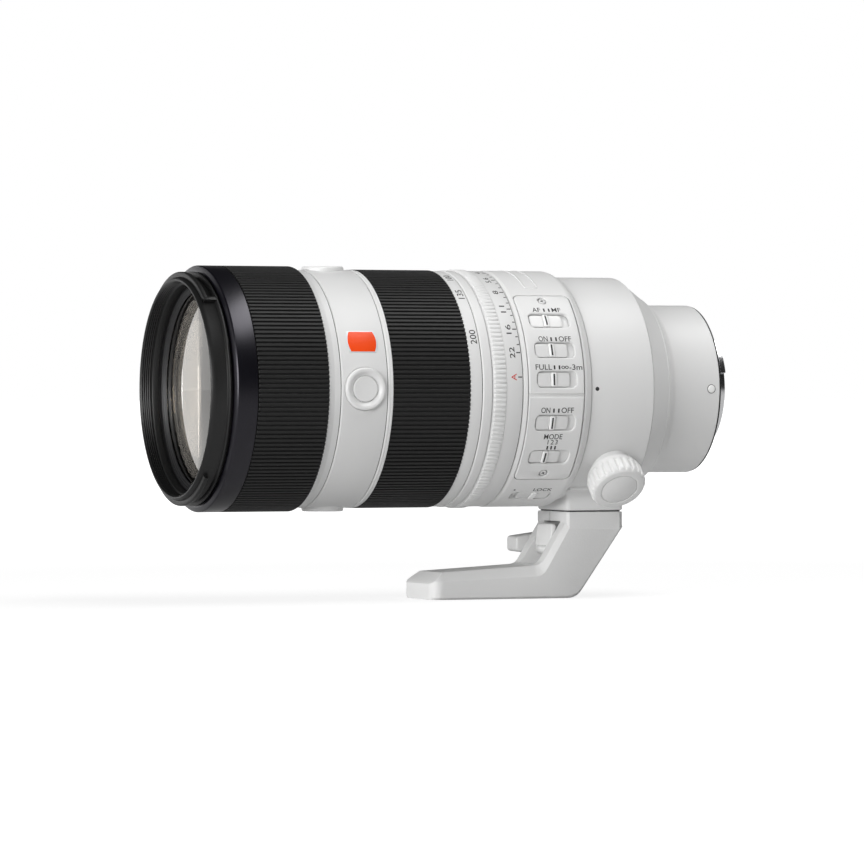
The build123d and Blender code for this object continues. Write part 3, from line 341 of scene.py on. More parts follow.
retainer_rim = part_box("front_retainer")[1].y / mm
retainer_outline = section(front_rim, (7.62, retainer_rim), (7.62, 36.35), (7.85, 36.1), (8.0, 36.05),
                           (8.05, 35.8), (8.5, 35.35), (8.55, 35.1), (8.95, 34.7), (9.0, retainer_rim))
retainer = turned("front_retainer_rings", eased(retainer_outline, 0.05 * mm), anodised)
belongs(retainer, "barrel", "inner_black", "front_retainer")


# Filter ring
# The satin black ring at the very front, turned from aluminium. Its bore carries the fine
# filter thread, and two flanged lugs outside hold the hood. It screws onto the core tube.

satin = surface("satin_black", (0.008, 0.008, 0.008), 0.42, lumps=0.3 * mm, shine=0.4, dull=(0.36, 0.48),
                tones=((0.006, 0.006, 0.006), (0.011, 0.011, 0.011)))
thread_pitch = 0.75 * mm
thread_depth = 0.3 * mm
thread_radius = 38.1 * mm
thread_rows = 5


def threaded_ring():
    """The front ring, its thread cut as a true helix, in eight steps to a thread."""
    outside = section(front_rim, (0.1, 38.5), (0, 38.75), (0, 38.95), (0.12, 39.2), (0.4, 39.35),
                      (1.6, 39.9), (5.6, 39.9), (5.9, 40.1), (6.05, 41.5), (6.2, 41.7), (6.75, 41.7),
                      (6.9, 41.55), (6.9, 40.5), (7.6, 40.5), (7.6, 38.7), (6.6, 38.7), (6.6, 37.05),
                      (6.5, 36.95), (6.4, 36.95), (4.6, 37.45), (4.45, 37.55), (4.4, 37.75), (4.3, 37.95))
    turn_steps = 8
    thread_steps = thread_rows * turn_steps
    start = front_rim + 0.5 * mm
    thread = [(start + thread_pitch * k / turn_steps, thread_radius, 0) for k in range(thread_steps, -1, -1)]
    outline = thread + outside
    steps = 288
    loops = []
    for k in range(steps):
        angle = 2 * pi * k / steps
        loop = []
        for n, (x, radius, give) in enumerate(outline):
            if n <= thread_steps:
                phase = ((x - front_rim) / thread_pitch - k / steps) % 1.0
                radius += thread_depth * abs(2 * phase - 1)
            loop.append(round_point(x, radius, angle))
        loops.append(loop)
    return lofted("filter_ring_threaded", loops, satin, 45, endless=True)


belongs(threaded_ring(), "barrel", "black_paint", "filter_ring")


def part_turn(name, outline, low, high, material, ease, steps=48):
    """A section turned only from one angle to another, in degrees, with closed ends and eased edges."""
    loops = []
    for k in range(steps + 1):
        angle = radians(low + (high - low) * k / steps)
        loops.append([round_point(x, radius, angle) for x, radius, give in outline])
    piece = lofted(name, loops, material)
    round_edges(piece, ease)
    return piece


def round_edges(piece, ease, segments=2, angle=40):
    """Rounds the piece's sharp edges and keeps the result."""
    bevel = piece.modifiers.new("ease", "BEVEL")
    bevel.width = ease
    bevel.segments = segments
    bevel.limit_method = "ANGLE"
    bevel.angle_limit = radians(angle)
    bevel.harden_normals = False
    settle(piece)
    smoothed(piece.data, angle)


def settle(piece):
    """Applies the piece's modifiers."""
    graph = bpy.context.evaluated_depsgraph_get()
    graph.update()
    mesh = bpy.data.meshes.new_from_object(piece.evaluated_get(graph))
    old = piece.data
    piece.modifiers.clear()
    piece.data = mesh
    bpy.data.meshes.remove(old)


lug_outline = section(front_rim, (1.6, 39.6), (3.1, 39.6), (3.1, 41.7), (1.9, 41.7), (1.6, 41.3))
for name, low, high in (("hood_lug_upper", 49, 131), ("hood_lug_lower", -131, -49)):
    lug = part_turn(name, lug_outline, low, high, satin, 0.12 * mm)
    belongs(lug, "barrel", "black_paint")
stop_outline = section(front_rim, (1.6, 39.6), (6.2, 39.6), (6.2, 41.7), (1.6, 41.7))
for name, low in (("hood_stop_upper", 49), ("hood_stop_lower", 229)):
    stop = part_turn(name, stop_outline, low, low + 2.2, satin, 0.15 * mm, 4)
    belongs(stop, "barrel", "black_paint")


# Name ring
# A plain aluminium ring behind the hood seat, painted a deep gloss black with a violet cast.
# Its front edge is cut at a slant and catches the light. It is pressed onto the core tube.

def gloss_black():
    material, shader = finish("gloss_black", (0.003, 0.003, 0.005), 0.3)
    shader.inputs["Specular Tint"].default_value = (0.93, 0.9, 1.0, 1)
    broad = grain(material, 12 * mm)
    shaded(material, shader, broad, (0.0028, 0.0026, 0.0045), (0.0034, 0.0032, 0.0055))
    dulled(material, shader, broad, 0.29, 0.33)
    return material


def span(node):
    """Front and rear x of a node."""
    low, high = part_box(node)
    return low.x, high.x


name_front, name_rear = span("name_ring")
name_outline = (section(name_front, (0, 38.7), (0, 42.35), (0.5, 43.68), (0.92, 44.0))
                + section(name_rear, (-0.05, 44.0), (-0.05, 38.7)))
name_ring = turned("name_ring_gloss", eased(name_outline, 0.08 * mm), gloss_black())
belongs(name_ring, "barrel", "gloss_black", "name_ring")


# Focus grip
# A moulded rubber sleeve, stretched over the ring. It has 168 square ribs along the barrel,
# with narrow grooves between them that run out at both ends.

rubber = surface("moulded_rubber", (0.014, 0.014, 0.014), 0.52, lumps=0.22 * mm, detail=4.0, shine=0.32,
                 tones=((0.01, 0.01, 0.01), (0.019, 0.019, 0.019)), dull=(0.48, 0.62), bump=(0.02 * mm, 0.5))
rib_shape_shares = ((0.0, 1.0), (0.26, 1.0), (0.34, 0.12), (0.40, 0.0), (0.86, 0.0), (0.92, 0.12))


def ribs(count, shape=rib_shape_shares):
    """Turns for this many ribs. A share of 1 is the floor of a groove, and 0 is a rib's top."""
    turns = []
    for k in range(count):
        for phase, sink in shape:
            turns.append((2 * pi * (k + phase) / count, sink))
    return turns


focus_grip_radius = 44.0 * mm
zoom_grip_radius = 43.0 * mm
groove_depth = 0.62 * mm


def grip_outline(front, rear, inner, outer):
    """Section of a ribbed sleeve. The grooves run out at both ends."""
    lip = 0.22 * mm
    return [
        (front, inner, 0),
        (front, outer - lip, groove_depth - lip),
        (front + lip, outer, groove_depth),
        (rear - lip, outer, groove_depth),
        (rear, outer - lip, groove_depth - lip),
        (rear, inner, 0),
    ]


grip_front, grip_rear = span("focus_grip")
focus_sleeve = grip_outline(grip_front, grip_rear, 41.6 * mm, focus_grip_radius)
focus_grip = spun("focus_grip_ribbed", focus_sleeve, ribs(168), optical_axis, rubber)
belongs(focus_grip, "focus_ring", "grip_rubber", "focus_grip")


# Focus ring
# The aluminium sleeve under the rubber. Its rear end shows as a white painted lip that slopes
# down to the next ring. It turns without end on the core tube.

white = surface("white_paint", (0.78, 0.78, 0.775), 0.42, lumps=0.42 * mm, detail=3.0, broad=24 * mm,
                shine=0.35, tones=((0.765, 0.766, 0.762), (0.795, 0.795, 0.79)), dull=(0.38, 0.5),
                bump=(0.035 * mm, 0.55))
focus_front, focus_rear = span("focus_ring")
lip_front = grip_rear
focus_outline = (section(focus_front, (0.1, 38.8), (0.1, 41.6))
                 + section(lip_front, (0, 41.6), (0, 43.2), (0.35, 43.2), (0.5, 43.0), (2.5, 42.5))
                 + section(focus_rear, (0, 42.5), (0, 38.8)))
focus_ring = turned("focus_ring_shell", eased(focus_outline, 0.14 * mm), white)
belongs(focus_ring, "focus_ring", "white_paint", "focus_ring")


# Front band
# The fixed white band that carries the hold buttons, turned from aluminium and painted.
# Three round wells are bored through it.

def round_loop(x, y, z, radius, steps):
    """A level circle of points."""
    turns = [2 * pi * k / steps for k in range(steps)]
    return [(x + radius * cos(turn), y + radius * sin(turn), z) for turn in turns]


def well_cutter(x, angle, radius, low, high):
    """A plain round cutter that stands out from the barrel."""
    loops = [round_loop(0, 0, reach, radius, 64) for reach in (low, high)]
    cutter = lofted("well", loops, white)
    cutter.data.transform(on_barrel(x, angle))
    return cutter


def on_barrel(x, angle):
    """Local X along the axis, local Y round the barrel and upwards, local Z straight out."""
    turn = radians(angle)
    up = (0, sin(turn), cos(turn))
    out = (0, -cos(turn), sin(turn))
    return Matrix(((1, up[0], out[0], x), (0, up[1], out[1], 0), (0, up[2], out[2], 0), (0, 0, 0, 1)))


def cut(piece, cutters):
    """Cuts these shapes out of the piece, and removes the cutters."""
    for cutter in cutters:
        boolean = piece.modifiers.new("cut", "BOOLEAN")
        boolean.operation = "DIFFERENCE"
        boolean.solver = "EXACT"
        boolean.object = cutter
    settle(piece)
    for cutter in cutters:
        bpy.data.objects.remove(cutter)
    smoothed(piece.data, 32)


band_front, band_rear = span("front_band")


def ring_outline(front, rear, inner, outer):
    """Section of a plain ring. Its front edge is chamfered, and its rear edge only broken."""
    chamfer = 0.38 * mm
    broken = 0.1 * mm
    corners = [(front, inner), (front, outer - chamfer), (front + chamfer, outer), (rear, outer),
               (rear, inner)]
    return eased(plain(corners), broken)


band_bore = 38.7 * mm
band_radius = 42.8 * mm
band_shape = ring_outline(band_front, band_rear, band_bore, band_radius)
band = turned("front_band_shell", band_shape, white)
button_x = band_front + 8.75 * mm
button_angles = (0, 90, -90)
well_radius = 7.75 * mm
well_floor = 39.0 * mm
well_top = 46.0 * mm
wells = [well_cutter(button_x, angle, well_radius, well_floor, well_top) for angle in button_angles]
cut(band, wells)
belongs(band, "barrel", "white_paint", "front_band")


# Hold-button bezels
# Turned rings pressed into the wells. Each has a rounded crest that stands proud of the band,
# and inside it the face slopes down in a shallow dish to the button.

moulding = surface("smooth_moulding", (0.79, 0.79, 0.785), 0.32, lumps=0.8 * mm, dull=(0.28, 0.36),
                   tones=((0.78, 0.78, 0.775), (0.8, 0.8, 0.795)), bump=(0.006 * mm, 0.4))
bezel_outline = section(0, (41.5, 4.7), (41.5, 7.6), (43.1, 7.6), (43.5, 7.53), (43.8, 7.35), (43.96, 7.1),
                        (44.0, 6.8), (43.97, 6.4), (43.85, 6.05), (43.6, 5.75), (43.2, 5.2), (43.0, 4.85),
                        (42.9, 4.7))
for number, angle in enumerate(button_angles):
    bezel = spun(f"button_bezel_{number}", bezel_outline, even_turns(96), on_barrel(button_x, angle),
                 moulding, 50)
    belongs(bezel, "barrel", "white_paint", "button_bezels")


# Hold buttons
# Three plain round keys, moulded in white plastic, each on its own spring. The flat face lies
# just below the bezel's crest, and a flange under the bezel keeps the key in.

button_outline = section(0, (40.2, 0), (40.2, 5.4), (41.2, 5.4), (41.2, 4.58), (43.25, 4.58), (43.42, 4.5),
                         (43.5, 4.32), (43.47, 4.1), (43.45, 0))
for node, angle in zip(("side_hold_button", "top_hold_button", "lower_hold_button"), button_angles):
    button = spun(f"{node}_key", button_outline, even_turns(96), on_barrel(button_x, angle), moulding, 50)
    belongs(button, node, "button_white", node)


# Badge plate
# A small plate of orange enamel with a bright silver border, bent to the band and glued into
# its seat. The face is left plain.

enamel_orange = surface("orange_enamel", (0.94, 0.075, 0.008), 0.3, lumps=0.6 * mm, shine=0.3,
                        dull=(0.26, 0.34), tones=((0.92, 0.07, 0.006), (0.96, 0.085, 0.011)))
border_silver = surface("silver_border", (0.74, 0.79, 0.82), 0.4, metallic=0.15, lumps=0.5 * mm,
                        dull=(0.36, 0.45), tones=((0.72, 0.77, 0.8), (0.76, 0.81, 0.84)))


def rounded(length, height, corner, middle=(0, 0), steps=6):
    """A rectangle with rounded corners, as (x, y) points. Four radii go round from the rear upper corner."""
    radii = corner if isinstance(corner, tuple) else (corner,) * 4
    points = []
    for quarter, (side_x, side_y) in enumerate(((1, 1), (-1, 1), (-1, -1), (1, -1))):
        radius = radii[quarter]
        centre_x = middle[0] + side_x * (length / 2 - radius)
        centre_y = middle[1] + side_y * (height / 2 - radius)
        for k in range(steps + 1):
            angle = pi / 2 * (quarter + k / steps)
            points.append((centre_x + radius * cos(angle), centre_y + radius * sin(angle)))
    return points


def slab(name, outlines, low, high, ease, material):
    """A flat plate between two heights, its edges rounded. The first outline is its rim, others are holes."""
    curve = bpy.data.curves.new(name, "CURVE")
    curve.dimensions = "2D"
    curve.fill_mode = "BOTH"
    curve.extrude = (high - low) / 2 - ease
    curve.bevel_depth = ease
    curve.bevel_resolution = 2
    curve.offset = -ease
    for outline in outlines:
        spline = curve.splines.new("POLY")
        spline.points.add(len(outline) - 1)
        for point, (x, y) in zip(spline.points, outline):
            point.co = (x, y, 0, 1)
        spline.use_cyclic_u = True
    return flat_mesh(name, curve, (low + high) / 2, material)


def flat_mesh(name, curve, height, material):
    """A curve or lettering as a mesh piece, raised to this height."""
    holder = placed(name + "_outline", curve)
    graph = bpy.context.evaluated_depsgraph_get()
    graph.update()
    mesh = bpy.data.meshes.new_from_object(holder.evaluated_get(graph))
    bpy.data.objects.remove(holder)
    mesh.materials.clear()
    mesh.transform(Matrix.Translation((0, 0, height)))
    return made(name, mesh, material, 50)


def bent(piece, x, angle, radius):
    """Bends a flat piece round the barrel: its middle goes to x and the angle, its height 0 to the radius."""
    work = bmesh.new()
    work.from_mesh(piece.data)
    low = min(v.co.y for v in work.verts)
    high = max(v.co.y for v in work.verts)
    step = radius * radians(1.5)
    cuts = int((high - low) / step)
    for k in range(cuts):
        place = low + (high - low) * (k + 1) / (cuts + 1)
        parts = work.verts[:] + work.edges[:] + work.faces[:]
        bmesh.ops.bisect_plane(work, geom=parts, plane_co=(0, place, 0), plane_no=(0, 1, 0))
    for v in work.verts:
        turn = radians(angle) + v.co.y / radius
        reach = radius + v.co.z
        v.co = round_point(x + v.co.x, reach, turn)
    bmesh.ops.recalc_face_normals(work, faces=work.faces[:])
    work.to_mesh(piece.data)
    work.free()
    smoothed(piece.data, 40)
    return piece


def badge_outline(length, height, steps=12):
    """Straight above and below, and bulging out at both ends."""
    bulge = 0.9 * mm
    points = []
    for side in (1, -1):
        for k in range(steps + 1):
            share = side * (2 * k / steps - 1)
            points.append((side * (length / 2 - bulge * share * share), height / 2 * share))
    return points


badge_x = band_front + 8.7 * mm
badge_angle = 22.9
badge_length = 11.7 * mm
badge_height = 8.15 * mm
border_side = 0.5 * mm
border_edge = 0.3 * mm
border = slab("badge_border", [badge_outline(badge_length, badge_height)], -0.3 * mm, 0.2 * mm, 0.08 * mm,
              border_silver)
belongs(bent(border, badge_x, badge_angle, band_radius), "barrel", "badge_orange", "badge_plate")
enamel_outline = badge_outline(badge_length - 2 * border_side, badge_height - 2 * border_edge)
enamel = slab("badge_enamel", [enamel_outline], 0.1 * mm, 0.24 * mm, 0.04 * mm, enamel_orange)
belongs(bent(enamel, badge_x, badge_angle, band_radius), "barrel", "badge_orange")


# Zoom ring and its grip
# A white painted aluminium sleeve with a wide ribbed rubber grip over it. A key inside it
# turns the cam. The focal lengths are printed on the narrow band behind the rubber.

zoom_front, zoom_rear = span("zoom_ring")
zoom_grip_front, zoom_grip_rear = span("zoom_grip")
zoom_outline = [
    *section(zoom_front, (0, 38.8), (0, 42.5), (0.4, 42.9), (0.95, 42.9), (1.1, 42.74), (1.25, 42.9)),
    *section(zoom_grip_front, (0, 42.9), (0, 41.4)),
    *section(zoom_grip_rear, (0, 41.4), (0, 42.7)),
    *section(zoom_rear, (0, 42.7), (0, 38.8)),
]
zoom_ring = turned("zoom_ring_shell", eased(zoom_outline, 0.1 * mm), white)
belongs(zoom_ring, "zoom_ring", "white_paint", "zoom_ring")
zoom_sleeve = grip_outline(zoom_grip_front, zoom_grip_rear, 41.4 * mm, zoom_grip_radius)
zoom_grip = spun("zoom_grip_ribbed", zoom_sleeve, ribs(164), optical_axis, rubber)
belongs(zoom_grip, "zoom_ring", "grip_rubber", "zoom_grip")


black_ink = surface("black_ink", (0.03, 0.03, 0.03), 0.55, lumps=0.2 * mm, dull=(0.5, 0.65))
red_ink = surface("red_ink", (0.62, 0.06, 0.05), 0.55, lumps=0.2 * mm, dull=(0.5, 0.65))
ink_height = 0.03 * mm


def printed(name, words, size, x, angle, radius, material, upright=True, reach=None):
    """Printed characters, a hair proud of the surface, upright or turned to read round the barrel.
    Where a reach is given, they are widened or narrowed to that length."""
    curve = bpy.data.curves.new(name, "FONT")
    curve.body = words
    curve.size = size
    curve.align_x = "CENTER"
    curve.align_y = "CENTER"
    curve.extrude = ink_height
    curve.offset = 0.01 * mm
    curve.resolution_u = 4
    piece = flat_mesh(name, curve, 0, material)
    if reach:
        places = [v.co.x for v in piece.data.vertices]
        low = min(places)
        high = max(places)
        piece.data.transform(Matrix.Translation((-(low + high) / 2, 0, 0)))
        piece.data.transform(Matrix.Diagonal((reach / (high - low), 1, 1, 1)))
    if not upright:
        piece.data.transform(Matrix.Rotation(pi / 2, 4, "Z"))
    return bent(piece, x, angle, radius)


def bar(name, length, height, x, angle, radius, material):
    """A printed bar, length along the barrel and height round it."""
    piece = slab(name, [rounded(length, height, min(length, height) * 0.2, steps=2)], -ink_height, ink_height,
                 ink_height * 0.3, material)
    return bent(piece, x, angle, radius)


zoom_scale_radius = 42.7 * mm
zoom_number_x = zoom_rear - 1.75 * mm
for words, angle, reach in (("200", 25.7, 5.6), ("135", 52.5, 5.2), ("100", 69.6, 5.2), ("70", 90.0, 3.8)):
    number = printed(f"focal_length_{words}", words, 3.4 * mm, zoom_number_x, angle, zoom_scale_radius,
                     black_ink, upright=False, reach=reach * mm)
    belongs(number, "zoom_ring", "white_paint")


# Index ring
# A narrow fixed ring between zoom and aperture, white painted, with the short index line for
# both scales printed at the top.

index_front, index_rear = span("index_ring")
index_radius = 42.9 * mm
index_shape = ring_outline(index_front, index_rear, band_bore, index_radius)
index_ring = turned("index_ring_shell", index_shape, white)
belongs(index_ring, "barrel", "white_paint", "index_ring")
index_line = bar("index_line", 2.4 * mm, 0.45 * mm, (index_front + index_rear) / 2, 90, index_radius,
                 black_ink)
belongs(index_line, "barrel", "white_paint")


# Gap shade rings
# Narrow black rings set round at the foot of every gap between the white rings. They are
# painted shade, standing in for the shade deep in each gap, and make each gap show as a fine dark line.

# Near-black painted shade, for the shade deep in each gap between the rings.
gap_shade_black = surface("gap_shade", (0.012, 0.012, 0.012), 0.9, lumps=0.1 * mm, bump=(0.05 * mm, 0.6),
                     tones=((0.008, 0.008, 0.008), (0.02, 0.02, 0.02)))
shade_ring_step = 0.02 * mm
shade_ring_width = 0.26 * mm
shade_ring_bore = 39.3 * mm

# The ring ahead of each gap, and how far out its black ring of painted shade reaches, in mm
for number, (ahead, top) in enumerate((
    ("focus_ring", 42.15),
    ("front_band", 42.4),
    ("zoom_ring", 42.3),
    ("index_ring", 42.2),
    ("aperture_ring", 42.3),
    ("switch_barrel", 40.45),
    ("tripod_collar", 39.5),
)):
    front = span(ahead)[1] + shade_ring_step
    rear = front + shade_ring_width
    shade_ring_outline = plain([(front, shade_ring_bore), (front, top * mm), (rear, top * mm), (rear, shade_ring_bore)])
    # Each black ring is painted shade at the foot of its gap.
    shade_ring = turned(f"gap_shade_ring_{number}", shade_ring_outline, gap_shade_black)
    belongs(shade_ring, "barrel", "inner_black")


# Aperture ring
# A white painted ring with a fine knurl along its front half and the f-numbers behind it. It
# turns by a third of a stop at a time, and its last place hands the iris to the camera.

iris_front, iris_rear = span("aperture_ring")
knurl_rear = iris_front + 5.25 * mm
knurl_give = 0.42
iris_outline = (section(iris_front, (0, 38.8), (0, 42.35), (0.55, 42.85), (0.95, 43.3, knurl_give))
                + section(knurl_rear, (-0.4, 43.3, knurl_give), (0, 42.88), (0.1, 42.8))
                + section(iris_rear, (-0.25, 42.8), (-0.08, 42.72), (0, 42.55), (0, 38.8)))
knurl_shape_shares = ((0.0, 1.0), (0.14, 1.0), (0.36, 0.08), (0.44, 0.0), (0.7, 0.0), (0.78, 0.08))
aperture_ring = spun("aperture_ring_shell", iris_outline, ribs(158, knurl_shape_shares), optical_axis, white)
belongs(aperture_ring, "aperture_ring", "white_paint", "aperture_ring")
iris_scale_radius = 42.8 * mm
stop_number_x = iris_rear - 3.25 * mm
tick_rear = iris_rear - 0.3 * mm

# The angle of each mark, its characters, and their length in mm
stop_places = ((5.65, "A", 2.5), (17.6, "22", 4.2), (29.9, "16", 3.9), (41.9, "11", 3.4), (54.1, "8", 2.1),
               (66.3, "5.6", 4.6), (78.4, "4", 2.2), (90.5, "2.8", 4.6))
for place, (angle, words, reach) in enumerate(stop_places):
    colour = red_ink if words == "A" else black_ink
    number = printed(f"f_number_{place}", words, 2.85 * mm, stop_number_x, angle, iris_scale_radius, colour,
                     upright=False, reach=reach * mm)
    belongs(number, "aperture_ring", "white_paint")
    tick = bar(f"stop_tick_{place}", 1.5 * mm, 0.42 * mm, tick_rear - 0.75 * mm, angle, iris_scale_radius,
               black_ink)
    belongs(tick, "aperture_ring", "white_paint")
    if 0 < place < len(stop_places) - 1:
        ahead = stop_places[place + 1][0]
        for third in (1, 2):
            between = angle + (ahead - angle) * third / 3
            small = bar(f"third_tick_{place}_{third}", 0.95 * mm, 0.36 * mm, tick_rear - 0.42 * mm, between,
                        iris_scale_radius, black_ink)
            belongs(small, "aperture_ring", "white_paint")


# Switch barrel
# The fixed white housing behind the aperture ring, with milled pockets for the switches and a
# sloping shoulder at its rear. The boards and the iris motor sit inside it.

barrel_front, barrel_rear = span("switch_barrel")
shoulder_front = barrel_front + 23.6 * mm
barrel_outline = (section(barrel_front, (0, 38.7), (0, 42.25), (0.45, 42.7), (1.5, 43.0))
                  + section(shoulder_front, (0, 43.0), (1.2, 42.72), (2.6, 41.75))
                  + section(barrel_rear, (0, 41.45), (0, 38.7)))
barrel = turned("switch_barrel_shell", eased(barrel_outline, 0.12 * mm), white)
barrel_radius = 43.0 * mm
slot_x = barrel_front + 12.85 * mm
lock_x = barrel_front + 12.3 * mm
pocket_length = 15.5 * mm
pocket_height = 6.0 * mm
pocket_corner = 2.0 * mm
lock_angle = -64
click_angle = 180
cutter_edge = 0.01 * mm


def pocket_cutter(x, angle):
    """A cutter for a slide switch's opening in the barrel."""
    outline = rounded(pocket_length, pocket_height, pocket_corner)
    opening = slab("opening", [outline], -2.2 * mm, 1.0 * mm, cutter_edge, white)
    return bent(opening, x, angle, barrel_radius)


panel_front = barrel_front + 2.0 * mm
panel_length = 21.4 * mm
panel_low = -49
panel_split = -3.1
panel_high = 51
panel_groove = 0.4 * mm
outer_corner = 2.4 * mm


def panel_seat():
    """A cutter for the shallow seat of both switch plates, with a fine groove left all round them."""
    height = barrel_radius * radians(panel_high - panel_low) + 2 * panel_groove
    middle = (panel_high + panel_low) / 2
    outline = rounded(panel_length + 2 * panel_groove, height, outer_corner + panel_groove, steps=8)
    seat = slab("seat", [outline], -1.0 * mm, 1.0 * mm, cutter_edge, white)
    return bent(seat, panel_front + panel_length / 2, middle, barrel_radius)


cut(barrel, [pocket_cutter(lock_x, lock_angle), pocket_cutter(slot_x, click_angle), panel_seat()])
belongs(barrel, "barrel", "white_paint", "switch_barrel")
strip_length = radians(65) * barrel_radius
strip_line = 0.4 * mm
strip_outer = rounded(5.4 * mm, strip_length, 0.7 * mm)
strip_inner = rounded(5.4 * mm - 2 * strip_line, strip_length - 2 * strip_line, 0.4 * mm)
strip = slab("label_strip_frame", [strip_outer, strip_inner], -0.1 * mm, 0.16 * mm, 0.08 * mm, white)
belongs(bent(strip, barrel_front + 11.2 * mm, 90, barrel_radius), "barrel", "white_paint")


# Switch plates
# Two bent plates of white moulded plastic, screwed into a shallow seat on the barrel, with a
# narrow seam between them. Each slide switch shows through an opening with a sloping edge.

plate_radius = 43.3 * mm
plate_sheet = 1.2 * mm
seam = 0.62
slide_places = {
    "focus_mode_switch": 34.6,
    "manual_assist_switch": 18.8,
    "range_limit_switch": 4.4,
    "stabiliser_switch": -16.5,
    "stabiliser_mode_switch": -34.7,
}
seam_corner = 0.3 * mm
plate_slope = 0.42 * mm


def plate(name, low, high, corners, switch_names, screw_angle):
    """A plate between two angles. Its edge and its openings slope, all by the same width."""
    middle = (low + high) / 2
    height = plate_radius * radians(high - low)
    outlines = [rounded(panel_length, height, corners, steps=8)]
    for switch in switch_names:
        off = plate_radius * radians(slide_places[switch] - middle)
        outlines.append(rounded(pocket_length, pocket_height, pocket_corner, (0.15 * mm, off)))
    off = plate_radius * radians(screw_angle - middle)
    hole_radius = 1.65 * mm
    outlines.append(rounded(2 * hole_radius, 2 * hole_radius, hole_radius * 0.9994, (0, off)))
    piece = slab(name, outlines, -plate_sheet, 0, plate_slope, white)
    return bent(piece, panel_front + panel_length / 2, middle, plate_radius)


screw_angles = (47.1, -44.7)
upper = plate("upper_switch_plate_shell", panel_split + seam, panel_high,
              (outer_corner, outer_corner, seam_corner, seam_corner),
              ("focus_mode_switch", "manual_assist_switch", "range_limit_switch"), screw_angles[0])
belongs(upper, "barrel", "white_paint", "upper_switch_plate")
lower = plate("lower_switch_plate_shell", panel_low, panel_split - seam,
              (seam_corner, seam_corner, outer_corner, outer_corner),
              ("stabiliser_switch", "stabiliser_mode_switch"), screw_angles[1])
belongs(lower, "barrel", "white_paint", "lower_switch_plate")
panel_middle = panel_front + panel_length / 2
floor_outline = rounded(panel_length, 2.2 * mm, 0.2 * mm)
seam_floor = slab("plate_seam_floor", [floor_outline], -0.6 * mm, -0.12 * mm, 0.05 * mm, white)
belongs(bent(seam_floor, panel_middle, panel_split, barrel_radius), "barrel", "white_paint")


# Plate screws
# Two small cross-head screws, white like the plates that they hold, and sunk below their face.
# A black cross of painted shade lies in each cross recess.

def cross(name, width, length, top, place, twist, material):
    """Two crossed bars, as a cutter or as a dark cross of painted shade in a recess."""
    arms = []
    for turn in (twist, twist + pi / 2):
        outline = rounded(length, width, width * 0.3, steps=2)
        arm = slab(name, [outline], top - 0.5 * mm, top, cutter_edge, material)
        arm.data.transform(place @ Matrix.Rotation(turn, 4, "Z"))
        arms.append(arm)
    return arms


def screw(name, place, radius, top, twist, material):
    """A small pan head with a cross recess."""
    head = [(top - 1.0 * mm, 0, 0), (top - 1.0 * mm, radius, 0), (top - 0.25 * mm, radius, 0),
            (top - 0.07 * mm, radius * 0.86, 0), (top, radius * 0.6, 0), (top, 0, 0)]
    piece = spun(name, head, even_turns(40), place, material, 50)
    cut(piece, cross("arm", radius * 0.3, radius * 1.3, top + 0.1 * mm, place, twist, material))
    return piece


screw_radius = 1.25 * mm
screw_twist = 0.4
head_top = plate_radius - 0.2 * mm
shade_cross_top = head_top - 0.3 * mm
for number, angle in enumerate(screw_angles):
    place = on_barrel(panel_middle, angle)
    plate_screw = screw(f"plate_screw_{number}", place, screw_radius, head_top, screw_twist, white)
    belongs(plate_screw, "barrel", "steel", "plate_screws")
    # A black cross below each head's face is painted shade for its dark recess.
    shade_bars = cross("recess", 0.36 * mm, 1.6 * mm, shade_cross_top, place, screw_twist, anodised)
    for k, shade_bar in enumerate(shade_bars):
        shade_bar.name = f"plate_screw_{number}_recess_{k}"
        belongs(shade_bar, "barrel", "inner_black")


# Slide switches
# Small sliders of smooth white plastic. Each one fills most of its opening, and a bright ridge
# across its middle, with one black line, gives the thumb a hold. The lock's ridge is bare.

cap_length = 12.4 * mm
mode_cap_length = 11.4 * mm
cap_gap = 0.35 * mm
cap_height = 5.0 * mm
ridge_width = 1.9 * mm
tile_gap = 0.12 * mm
ridge_white = surface("bright_ridge", (0.93, 0.93, 0.925), 0.3, lumps=0.4 * mm, dull=(0.26, 0.34),
                      tones=((0.92, 0.92, 0.915), (0.94, 0.94, 0.935)))


def slide_switch(name, x, angle, length, towards, line_width=0.6 * mm):
    """The cap in two tiles, its shutter below, the ridge between the tiles and the black line on it."""
    middle = x - towards * (pocket_length / 2 - cap_gap - length / 2)
    tile = length / 2 - ridge_width / 2 - tile_gap
    floor = -1.3 * mm
    soft = 1.0 * mm
    crisp = 0.2 * mm
    shutter_outline = rounded(length + 1.8 * mm, 6.9 * mm, 1.5 * mm)
    parts = [(slab(f"{name}_shutter", [shutter_outline], -1.75 * mm, -1.25 * mm, 0.05 * mm, moulding), 0)]
    for side, corners in ((1, (soft, crisp, crisp, soft)), (-1, (crisp, soft, soft, crisp))):
        outline = rounded(tile, cap_height, corners)
        cap = slab(f"{name}_tile_{side + 1}", [outline], floor, -0.2 * mm, 0.16 * mm, moulding)
        parts.append((cap, side * (length - tile) / 2))
    ridge_outline = rounded(ridge_width, cap_height, 0.3 * mm)
    parts.append((slab(f"{name}_ridge", [ridge_outline], floor, 0.4 * mm, 0.28 * mm, ridge_white), 0))
    if line_width:
        line_outline = rounded(line_width, 4.1 * mm, 0.15 * mm)
        parts.append((slab(f"{name}_line", [line_outline], 0.35 * mm, 0.45 * mm, 0.02 * mm, black_ink), 0))
    return [bent(piece, middle + off, angle, barrel_radius) for piece, off in parts]


